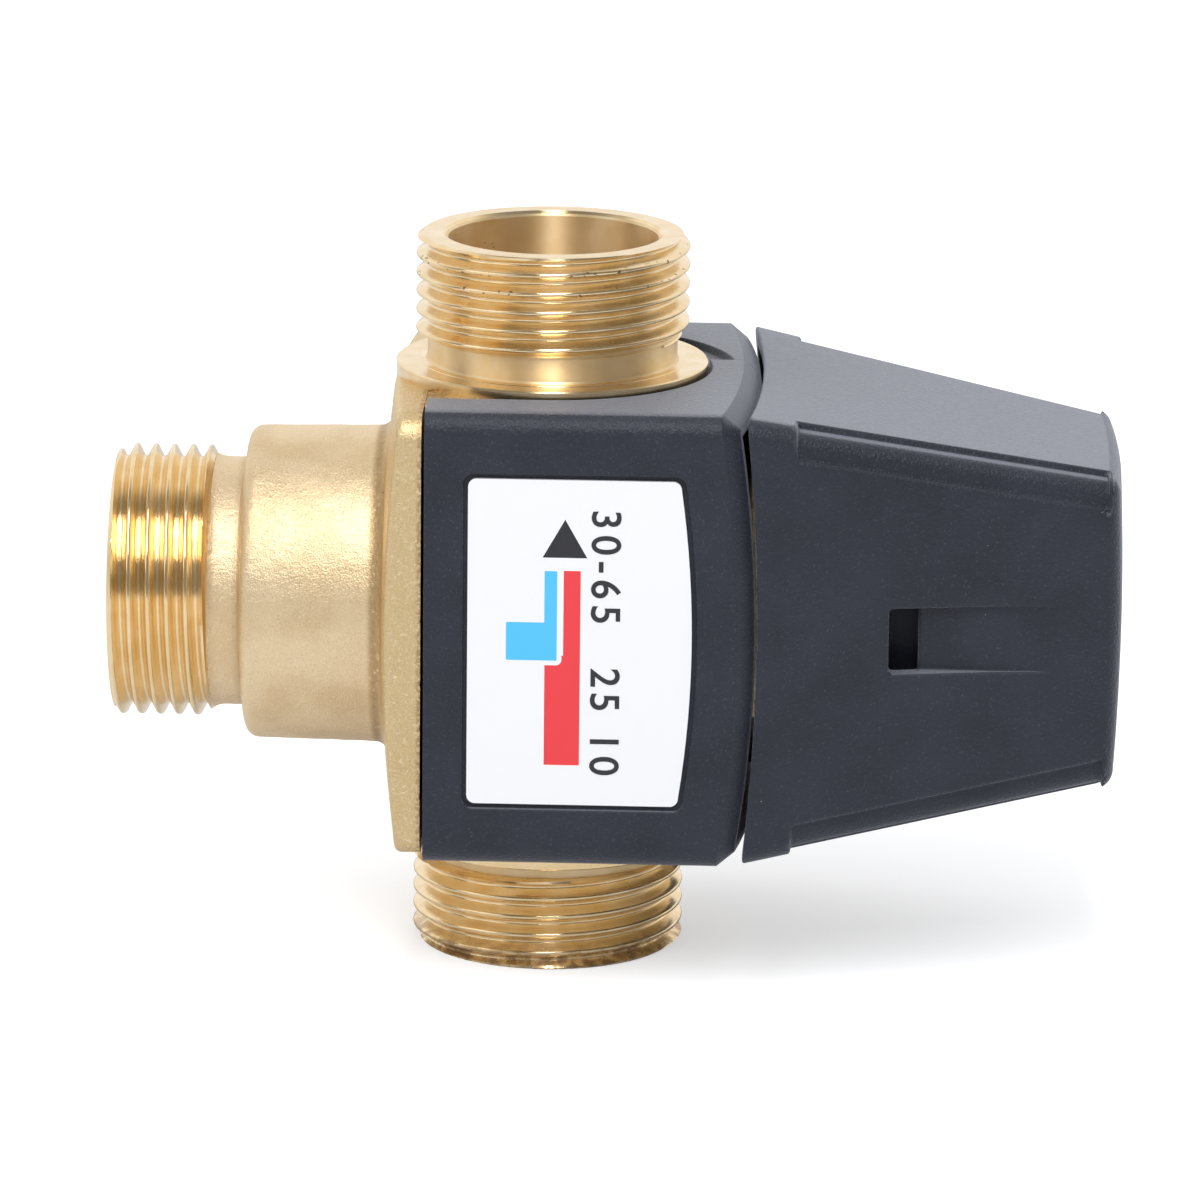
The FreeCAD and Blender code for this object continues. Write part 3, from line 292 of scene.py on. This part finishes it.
tone = cast.mix(painted_crease_shade * 0.7, tone, (0.42, 0.27, 0.13))
tone = cast.mix(edge * 0.6, tone, (0.34, 0.20, 0.09))
# Painted glints: light specks mixed into the colour, strongest on the flange, where the skin is also a
# little smoother.
painted_glints = cast.grain(0.42, 1).between(0.60, 0.74) * (0.35 + (cx + 17.0).between(0.0, 1.0))
tone = cast.mix(painted_glints * 0.36, tone, (1.0, 0.84, 0.54))
tone = cast.mix(pits * 0.7, tone, (0.16, 0.10, 0.05))
relief = cast.bump(lumps, 0.05)
relief = cast.bump(grit, 0.03, relief)
relief = cast.bump(sand, 0.075, relief)
relief = cast.bump(pits * -1, 0.10, relief)
cast_rough = 0.34 + sand * 0.12 - painted_glints * 0.12
cast_brass = cast.surface(cast.add("BsdfPrincipled", {
    "Base Color": tone, "Metallic": 1.0, "Roughness": cast_rough, "Normal": relief}))

# ---------------------------------------------------------------- turned brass
# Threads, collars and bores are cut on a lathe: yellow, bright, with fine rings that spread light
# across them. The first crests are nicked by handling, and the lowest ring has gone brown in the wet.
NECK_BANDS = ((57.0, 61.0), (9.0, 12.0))


def turned_finish(name, axis):
    """Turned brass whose rings run round the given axis, 0 for X or 2 for Z."""
    made = finish(name)
    along = made.along()
    rings = made.add("TexNoise", {"W": along[axis], "Scale": 9.0, "Detail": 3.0},
                     noise_dimensions="1D", out="Fac")
    stains = made.grain(2.6, 3)
    colour = made.mix(stains.between(0.35, 0.7), (0.86, 0.65, 0.36), (0.92, 0.73, 0.46))
    rough = 0.13 + rings * 0.12
    spread_across = 0.0
    if axis == 2:
        spread_across = 0.85
        away = (along[0] * along[0] + along[1] * along[1]).power(0.5)
        bored = away < 10.3
        plain = bored
        for low, high in NECK_BANDS:
            plain = plain + (away < 12.2) * (away > 11.0) * (along[2] > low) * (along[2] < high)
        nicks = (made.grain(0.55, 1) > 0.68) * (away > 12.85) * (along[2] > 66.3)
        pits = (made.grain(0.5, 1) > 0.745) * bored * (along[0] < 1.0)
        marks = (nicks + pits).between(0.0, 1.0)
        wet = (3.2 - along[2]).between(0.0, 2.6) * made.grain(1.1, 3).between(0.38, 0.62)
        colour = made.mix(wet * 0.75, colour, (0.30, 0.17, 0.075))
        colour = made.mix(marks * 0.8, colour, (0.12, 0.07, 0.03))
        rough = rough + plain * 0.26 + wet * 0.2 + marks * 0.3
    skin = made.bump(rings, 0.010)
    return made.surface(made.add("BsdfPrincipled", {
        "Base Color": colour, "Metallic": 1.0, "Roughness": rough, "Normal": skin,
        "Anisotropic": spread_across, "Anisotropic Rotation": 0.25}))


turned_upright = turned_finish("turned_brass_upright", 2)
turned_along = turned_finish("turned_brass_along", 0)


def new_piece(name, verts, faces, materials, body="base", sharp=30):
    """A mesh piece that rides on a body; verts are in millimetres, sharp is its edge angle."""
    mesh = bpy.data.meshes.new(name)
    mesh.from_pydata([Vector(v) * 0.001 for v in verts], [], faces)
    for material in materials:
        mesh.materials.append(material)
    work = bmesh.new()
    work.from_mesh(mesh)
    bmesh.ops.remove_doubles(work, verts=work.verts[:], dist=0.000001)
    work.to_mesh(mesh)
    work.free()
    mesh.shade_smooth()
    mesh.set_sharp_from_angle(angle=math.radians(sharp))
    piece = bpy.data.objects.new(name, mesh)
    bpy.context.scene.collection.objects.link(piece)
    if body:
        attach(piece, body)
    return piece


def strip(rows, lead=0):
    """Faces between closed rows of equally many vertices; lead rows are gained in each turn."""
    count, last = len(rows[0]), len(rows) - 1
    verts = [v for row in rows for v in row]
    faces = []
    for low in range(last):
        this_row, next_row = low * count, (low + 1) * count
        for j in range(count - 1):
            faces.append((this_row + j, this_row + j + 1, next_row + j + 1, next_row + j))
        seam = min(low + lead, last) * count, min(low + 1 + lead, last) * count
        faces.append((this_row + count - 1, seam[0], seam[1], next_row + count - 1))
    return verts, faces


# ---------------------------------------------------------------- threaded ports
# Three outside pipe threads of Whitworth form, each turned with its bore, rim and neck. The
# thread starts at the chamfer of the rim and is cut off again where the neck is relieved.
PITCH, CREST, TIP = 1.814, 13.15, 0.249
FLANK = math.radians(27.5)
ROOT = CREST - 0.640327 * PITCH
TIP_HALF = TIP * math.cos(FLANK)
RIM, CHAMFER_SLOPE, BORE = 12.5, 1.3, 10.1
NECK = 12.03
ROUND_STEPS = 240
TIP_SHARES = (-1.0, -0.78, -0.45, 0.0, 0.45, 0.78, 1.0)
THREAD_STEPS = [TIP_HALF * share for share in TIP_SHARES] + [PITCH / 4]
THREAD_STEPS += [PITCH / 2 + step for step in THREAD_STEPS]


def thread_height(away):
    """The thread's radius at a distance along the axis from the middle of its crest."""
    away = abs((away + PITCH / 2) % PITCH - PITCH / 2)
    if away < TIP_HALF:
        return CREST - TIP + math.sqrt(TIP ** 2 - away ** 2)
    if PITCH / 2 - away < TIP_HALF:
        return ROOT + TIP - math.sqrt(TIP ** 2 - (PITCH / 2 - away) ** 2)
    return (CREST + ROOT) / 2 - (away - PITCH / 4) / math.tan(FLANK)


def thread_rows(start, relief, end, crest_at, crest_turn):
    """Rows that follow the helix between two heights, with both ends trimmed flat."""
    first = math.floor((start - crest_at) / PITCH) - 1
    final = math.ceil((end - crest_at) / PITCH) + 1
    rows = []
    for line in (crest_at + k * PITCH + step for k in range(first, final + 1) for step in THREAD_STEPS):
        row = []
        for j in range(ROUND_STEPS):
            share = j / ROUND_STEPS - 0.5
            angle = crest_turn + 2 * math.pi * share
            height = min(max(line + PITCH * share, start), end)
            radius = thread_height(height - crest_at - PITCH * share)
            radius = max(radius, RIM - (end - height) * 3.0)
            radius = min(radius, RIM + (end - height) * CHAMFER_SLOPE)
            if height - start < relief:
                radius = min(radius, NECK + 0.25 + ((height - start) / relief) ** 1.6)
            if height - start < 0.001:
                radius = NECK
            row.append((radius * math.cos(angle), radius * math.sin(angle), height))
        rows.append(row)
    return rows


def turned_rows(profile, turn):
    """One row of vertices for each (height, radius) of a profile."""
    angles = [turn + 2 * math.pi * (j / ROUND_STEPS - 0.5) for j in range(ROUND_STEPS)]
    return [[(radius * math.cos(a), radius * math.sin(a), height) for a in angles]
            for height, radius in profile]


def port(name, place, below, start, relief, end, crest_at, crest_turn, bore_floor, skin):
    """A threaded port: what is turned below the thread, the thread, the rim and the bore."""
    lower, lower_faces = strip(turned_rows(below + [(start - 0.04, NECK), (start, NECK)], crest_turn))
    cut, cut_faces = strip(thread_rows(start, relief, end, crest_at, crest_turn), len(THREAD_STEPS))
    rim = [(end, RIM), (end, BORE + 0.45), (end - 0.42, BORE + 0.06), (end - 0.47, BORE)]
    rim += [(end - 3.0, BORE), (bore_floor, BORE), (bore_floor, 3.0)]
    upper, upper_faces = strip(turned_rows(rim, crest_turn))
    faces = lower_faces + [tuple(i + len(lower) for i in face) for face in cut_faces]
    faces += [tuple(i + len(lower) + len(cut) for i in face) for face in upper_faces]
    return new_piece(name, [place(*v) for v in lower + cut + upper], faces, [skin])


def upright_port(x, y, h):
    """Local height h stands above the crossing, towards the mixed outlet."""
    return (x, y, AXIS_HEIGHT + h)


def hanging_port(x, y, h):
    """Local height h hangs below the crossing, towards the hot inlet."""
    return (x, -y, AXIS_HEIGHT - h)


def side_port(x, y, h):
    """Local height h runs out to the cold inlet, with local X pointing up."""
    return (-h, y, AXIS_HEIGHT + x)


def collar(top):
    """The turned collar with its broken edge, and the small fillet from it into the neck."""
    disc = [(17.0, 14.0), (19.5, 15.0), (top - 0.12, 15.0), (top, 14.88), (top, 12.85)]
    fillet = [(top + 0.05, 12.8), (top + 0.05, 12.35), (top + 0.12, 12.15), (top + 0.32, NECK)]
    return disc + fillet + [(top + 0.38, NECK)]


outlet = port("outlet_port", upright_port, below=collar(22.65), start=25.1, relief=0.5, end=35.0,
              crest_at=32.95, crest_turn=math.pi, bore_floor=16.5, skin=turned_upright)
hot = port("hot_inlet_port", hanging_port, below=collar(24.4), start=26.0, relief=0.5, end=35.0,
           crest_at=28.28, crest_turn=math.pi, bore_floor=16.5, skin=turned_upright)
cold = port("cold_inlet_port", side_port, below=[(32.0, 11.7)], start=32.3, relief=0.75, end=42.0,
            crest_at=40.26, crest_turn=0.0, bore_floor=13.2, skin=turned_along)
for piece in (outlet, hot, cold):
    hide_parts("valve_body")

# ---------------------------------------------------------------- casting
# Flange, boss and side neck as they leave the sand: one skin with soft edges and low lumps. Only
# the lip where the lathe met the side neck stays sharp.
FLANGE_HALF, FLANGE_CORNER, FLANGE_EDGE = 21.5, 2.6, 0.7
FLANGE_BACK, DOME_REACH, DOME_RADIUS = 11.4, 16.2, 175.0
CAST_STEPS = 420
NECK_LIP = -32.46
LUMP_RISE, LUMP_FINENESS = 0.02, (0.45, 1.1, 2.6)


def square_reach(angle):
    """How far the flange's rounded square outline lies from the axis in that direction."""
    c, s = abs(math.cos(angle)), abs(math.sin(angle))
    inner = FLANGE_HALF - FLANGE_CORNER
    straight = FLANGE_HALF / max(c, s)
    if min(c, s) * straight <= inner:
        return straight
    along = inner * (c + s)
    return along + math.sqrt(along * along - 2 * inner * inner + FLANGE_CORNER ** 2)


def dome(radius):
    """Where the flange's domed face stands at that distance from the axis."""
    return -(DOME_REACH - DOME_RADIUS + math.sqrt(DOME_RADIUS ** 2 - radius ** 2))


def casting_profile(angle):
    """The skin's (x, radius) from the side neck to the flange's back in that direction."""
    line = [(-32.50, 11.7), (-32.42, 12.33), (-32.25, 12.24), (-32.0, 12.14), (-31.7, 12.07)]
    line += [(-31.4 + 0.2 * i, 12.04) for i in range(9)]
    line += [(-29.6, 12.06), (-29.35, 12.25), (-29.25, 12.6), (-29.2, 13.1), (-29.2, 13.7)]
    line += [(-28.0 - 1.2 * math.cos(t), 13.97 + 1.2 * math.sin(t)) for t in
             (math.pi / 2 * i / 7 for i in range(1, 8))]
    line += [(-28.0 + 10.6 * i / 40, 15.17 + 0.18 * i / 40) for i in range(1, 41)]
    foot = 15.35 + 1.3
    line += [(dome(foot) - 1.3 + 1.3 * math.sin(t), foot - 1.3 * math.cos(t)) for t in
             (math.pi / 2 * i / 7 for i in range(1, 8))]
    rim = square_reach(angle) - FLANGE_EDGE
    line += [(dome(foot + (rim - foot) * i / 34), foot + (rim - foot) * i / 34) for i in range(1, 35)]
    line += [(dome(rim) + FLANGE_EDGE * (1 - math.cos(t)), rim + FLANGE_EDGE * math.sin(t)) for t in
             (math.pi / 2 * i / 5 for i in range(1, 6))]
    side = dome(rim) + FLANGE_EDGE
    line += [(side + (-FLANGE_BACK - side) * i / 10, rim + FLANGE_EDGE) for i in range(1, 11)]
    line += [(-FLANGE_BACK, 18.0), (-FLANGE_BACK, 16.5)]
    return line


spokes = [2 * math.pi * j / CAST_STEPS for j in range(CAST_STEPS)]
lines = [casting_profile(a) for a in spokes]
rows = [[(line[i][0], line[i][1] * math.cos(a), AXIS_HEIGHT + line[i][1] * math.sin(a))
         for a, line in zip(spokes, lines)] for i in range(len(lines[0]))]
verts, faces = strip(rows)
casting = new_piece("valve_body_casting", verts, faces, [cast_brass])
skin = casting.data
normals = [v.normal.copy() for v in skin.vertices]
for vert, normal in zip(skin.vertices, normals):
    spot = vert.co * 1000
    if spot.x > -FLANGE_BACK - 0.05 or spot.x < NECK_LIP:
        continue
    rise = sum(LUMP_RISE * noise.noise(spot * fineness) for fineness in LUMP_FINENESS)
    vert.co += normal * rise * 0.001
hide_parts("valve_body")

# ---------------------------------------------------------------- barrel
# The barrel and the chambers behind the flange keep the solid's own skin. What the turned ports and
# the casting stand for is cut away from a copy of the body.
CORE_REACH = 16.4
core = bpy.data.objects.new("valve_body_barrel", nodes["valve_body"].data.copy())
bpy.context.scene.collection.objects.link(core)
cutter = bmesh.new()
cutter.from_mesh(core.data)
for place, way in ((mm(-FLANGE_BACK - 0.3, 0, 0), (-1, 0, 0)),
                   (mm(0, 0, AXIS_HEIGHT + CORE_REACH), (0, 0, 1)),
                   (mm(0, 0, AXIS_HEIGHT - CORE_REACH), (0, 0, -1))):
    bmesh.ops.bisect_plane(cutter, geom=cutter.verts[:] + cutter.edges[:] + cutter.faces[:],
                           plane_co=place, plane_no=way, clear_outer=True)
cutter.to_mesh(core.data)
cutter.free()
core.data.materials.clear()
core.data.materials.append(cast_brass)
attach(core, "base")
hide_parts("valve_body")

# ---------------------------------------------------------------- shoulders
# The cast pads under the two collars, as wide as the cut-outs of the covers. Each runs level from
# the flange and ends in a half circle with a softly broken edge.
SHOULDER_HALF, SHOULDER_TOP, SHOULDER_RUN = 15.2, 21.4, 11.7


def shoulder(name, way):
    """The pad that runs from the flange round one collar."""
    outline = [(-FLANGE_BACK - 0.3 + SHOULDER_RUN * i / 12, -SHOULDER_HALF) for i in range(12)]
    outline += [(SHOULDER_HALF * math.sin(t), -SHOULDER_HALF * math.cos(t)) for t in
                (math.pi * i / 60 for i in range(61))]
    outline += [(-SHOULDER_RUN * i / 12, SHOULDER_HALF) for i in range(1, 13)]
    section = [(inset, SHOULDER_TOP) for inset in (6.0, 3.0, 0.6)]
    section += [(0.35, 21.35), (0.12, 21.2), (0.0, 20.9), (0.0, 19.0), (0.0, 14.2)]
    rows = []
    for inset, height in section:
        share = 1 - inset / SHOULDER_HALF
        rows.append([(x if x < 0 and abs(abs(y) - SHOULDER_HALF) < 0.01 else x * share, y * share,
                      AXIS_HEIGHT + way * height) for x, y in outline])
    count = len(outline)
    verts = [v for row in rows for v in row]
    faces = [(i * count + j, i * count + j + 1, (i + 1) * count + j + 1, (i + 1) * count + j)
             for i in range(len(rows) - 1) for j in range(count - 1)]
    if way > 0:
        faces = [tuple(reversed(f)) for f in faces]
    piece = new_piece(name, verts, faces, [cast_brass])
    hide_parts("valve_body")


shoulder("outlet_shoulder", 1)
shoulder("hot_inlet_shoulder", -1)

# ---------------------------------------------------------------- covers and cap
# Moulded in black glass-filled nylon with a fine spark-eroded grain and a few specks of dust. What
# faces up gets a painted sheen, a lighter mottled grey, and the cap's edges leave the mould slightly
# rounded.
moulded = finish("black_nylon")
erosion = moulded.grain(0.24, 2, 0.6)
cloud = moulded.grain(7.0, 3)
dust = moulded.specks(1.9, 0.05, 0.07) + moulded.specks(3.4, 0.09, 0.05)
shade = moulded.mix(cloud.between(0.3, 0.7), (0.0065, 0.0075, 0.0145), (0.012, 0.0135, 0.0225))
shade = moulded.mix(erosion.between(0.58, 0.76) * 0.5, shade, (0.06, 0.065, 0.08))
facing = moulded.add("TexCoord", out="Normal")
# Painted sheen: faces that look up get a lighter, mottled grey that stands in for the light they
# reflect.
level_face = moulded.add("SeparateXYZ", {"Vector": facing}, out="Z").between(0.90, 0.97)
painted_top_sheen = level_face * (0.75 + moulded.grain(0.5, 3).between(0.3, 0.7) * 0.25)
shade = moulded.mix(painted_top_sheen, shade, (0.104, 0.109, 0.130))
shade = moulded.mix(dust * 0.7, shade, (0.45, 0.43, 0.40))
rounded_edge = moulded.add("Bevel", {"Radius": 0.0004}, samples=6)
grained = moulded.bump(erosion, 0.10, rounded_edge)
black_nylon = moulded.surface(moulded.add("BsdfPrincipled", {
    "Base Color": shade, "Roughness": 0.36 + erosion * 0.12, "Normal": grained,
    "Sheen Weight": 0.33, "Sheen Roughness": 0.45, "Sheen Tint": (0.80, 0.86, 1.0),
    "Specular Tint": (0.86, 0.91, 1.0)}))
for name in ("front_cover", "rear_cover", "setting_cap", "cap_ring"):
    nodes[name].data.materials.clear()
    nodes[name].data.materials.append(black_nylon)
joined = nodes["setting_cap"].modifiers.new("joined", "WELD")
joined.merge_threshold = 0.000002
eased = nodes["setting_cap"].modifiers.new("eased_edges", "BEVEL")
eased.width = 0.0003
eased.segments = 3
eased.angle_limit = math.radians(28)
eased.use_clamp_overlap = False
nodes["setting_cap"].modifiers.new("even_shading", "WEIGHTED_NORMAL")

# ---------------------------------------------------------------- label
# A white gloss film printed with a flow sign: blue from the cold side, red from the hot side, and
# an arrow to the mixed outlet. Three plain figures stand beside it.
LABEL_FACE, FIGURE_FACE, FIGURE_COLUMN = -21.8, -21.87, 4.75
film = finish("label_film")
lx, ly, lz = film.along()
lz = lz - AXIS_HEIGHT


def bar(low_x, high_x, low_z, high_z, corner=0.05):
    """1 inside a printed rectangle with rounded corners."""
    beside = abs(lx - (low_x + high_x) / 2) - ((high_x - low_x) / 2 - corner)
    over = abs(lz - (low_z + high_z) / 2) - ((high_z - low_z) / 2 - corner)
    beside, over = beside.maths("MAXIMUM", beside, 0.0), over.maths("MAXIMUM", over, 0.0)
    return (beside * beside + over * over).power(0.5) < corner


front = ly < LABEL_FACE
blue = bar(0.3, 1.5, -1.7, 7.0, 0.12) + bar(-3.3, 1.5, -1.7, 2.0, 0.12)
gap = bar(-4.0, 1.95, -2.15, 3.0, 0.55)
red = bar(2.1, 3.7, -11.9, 7.05) + bar(0.35, 3.7, -11.9, -1.2, 0.05) * (1 - gap)
arrow = (lz > 8.3) * ((12.0 - lz) * 0.57 > abs(lx - 2.2))
fleck = film.specks(2.6, 0.07, 0.07)
ink = film.mix(blue.between(0.0, 1.0) * front, (0.70, 0.71, 0.73), (0.063, 0.43, 0.73))
ink = film.mix(red.between(0.0, 1.0) * front, ink, (0.66, 0.034, 0.042))
ink = film.mix(arrow * front, ink, (0.012, 0.012, 0.016))
ink = film.mix(fleck * 0.6, ink, (0.25, 0.25, 0.27))
nodes["label"].data.materials.clear()
nodes["label"].data.materials.append(film.surface(film.add("BsdfPrincipled", {
    "Base Color": ink, "Roughness": 0.22, "Normal": film.bump(film.grain(5.0, 2), 0.05)})))

ink_black = finish("printing_ink")
dried = ink_black.grain(0.4, 2)
ink_black.surface(ink_black.add("BsdfPrincipled", {
    "Base Color": ink_black.mix(dried, (0.012, 0.012, 0.016), (0.02, 0.02, 0.026)), "Roughness": 0.3}))
FIGURES = (("setting_range", "30-65", 13.05, 1.27), ("upper_number", "25", -2.3, 1.22),
           ("lower_number", "10", -8.55, 1.22))
for name, numbers, high, spacing in FIGURES:
    figures = bpy.data.curves.new("label_" + name, "FONT")
    figures.body = numbers
    figures.size = 0.0039
    figures.space_character = spacing
    figures.offset = 0.00004
    figures.extrude = 0.00001
    figures.materials.append(ink_black.owner)
    text = bpy.data.objects.new("label_" + name, figures)
    text.matrix_world = Matrix.Translation(mm(FIGURE_COLUMN, FIGURE_FACE, AXIS_HEIGHT + high)) @ Matrix(
        ((0, 1, 0, 0), (0, 0, -1, 0), (-1, 0, 0, 0), (0, 0, 0, 1)))
    bpy.context.scene.collection.objects.link(text)
    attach(text, "base")

# ---------------------------------------------------------------- cartridge
# Bonnet, spindle, carrier and element: turned brass, drawn copper, stainless steel and rubber. They
# keep the solids' own shapes.


def plain_metal(name, colour, roughness, scale):
    """A bare metal with faint stains."""
    made = finish(name)
    haze = made.grain(scale, 3)
    toned = made.mix(haze.between(0.3, 0.7), colour, tuple(c * 0.88 for c in colour))
    return made.surface(made.add("BsdfPrincipled", {
        "Base Color": toned, "Metallic": 1.0, "Roughness": roughness + haze * 0.1,
        "Normal": made.bump(haze, 0.01)}))


steel = plain_metal("stainless_steel", (0.62, 0.61, 0.59), 0.25, 1.2)
wire = plain_metal("spring_wire", (0.50, 0.50, 0.51), 0.30, 0.8)
copper = plain_metal("drawn_copper", (0.78, 0.45, 0.28), 0.28, 2.0)
rubber = finish("seal_rubber")
soft = rubber.grain(0.5, 2)
seal_rubber = rubber.surface(rubber.add("BsdfPrincipled", {
    "Base Color": rubber.mix(soft, (0.012, 0.012, 0.012), (0.022, 0.022, 0.023)),
    "Roughness": 0.55 + soft * 0.1}))
CARTRIDGE = {
    turned_along: ("bonnet", "spindle", "setting_carrier", "hot_disc", "cold_disc", "cold_disc_nut"),
    steel: ("cold_seat_ring", "hot_seat_ring", "element_piston", "plunger"),
    wire: ("return_spring", "overload_spring", "element_clip", "spindle_clip"),
    copper: ("wax_element",),
    seal_rubber: ("bonnet_seal", "inner_spindle_seal", "outer_spindle_seal"),
}
for material, names in CARTRIDGE.items():
    for name in names:
        nodes[name].data.materials.clear()
        nodes[name].data.materials.append(material)

# ---------------------------------------------------------------- return spring
# Five turns of round steel wire between the body's cold wall and the hot disc. It is drawn in two
# halves that meet end to end.
WALL, DISC, COIL_RADIUS, WIRE, TURNS = -11.4, 6.6, 7.15, 0.8, 5.0
COIL_STEPS, WIRE_STEPS = 150, 12


def half_spring(name, first, last):
    """The wire between two shares of its length, bending from one body to the next."""
    rows = []
    for i in range(COIL_STEPS + 1):
        share = first + (last - first) * i / COIL_STEPS
        turned = 2 * math.pi * TURNS * share
        out = Vector((0, math.cos(turned), math.sin(turned)))
        reach = WALL + WIRE / 2 + (DISC - WALL - WIRE) * share
        centre = Vector((reach, 0, AXIS_HEIGHT)) + out * COIL_RADIUS
        rows.append([tuple(centre + (Vector((math.cos(t), 0, 0)) + out * math.sin(t)) * WIRE / 2)
                     for t in (2 * math.pi * k / WIRE_STEPS for k in range(WIRE_STEPS))])
    verts, faces = strip(rows)
    faces.append(tuple(reversed(range(WIRE_STEPS))))
    faces.append(tuple(range(len(verts) - WIRE_STEPS, len(verts))))
    piece = new_piece(name, verts, faces, [wire], body=None)
    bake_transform(piece)
    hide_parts("return_spring")


half_spring("return_spring_wall_half", 0.0, 0.5)
half_spring("return_spring_disc_half", 0.5, 1.0)
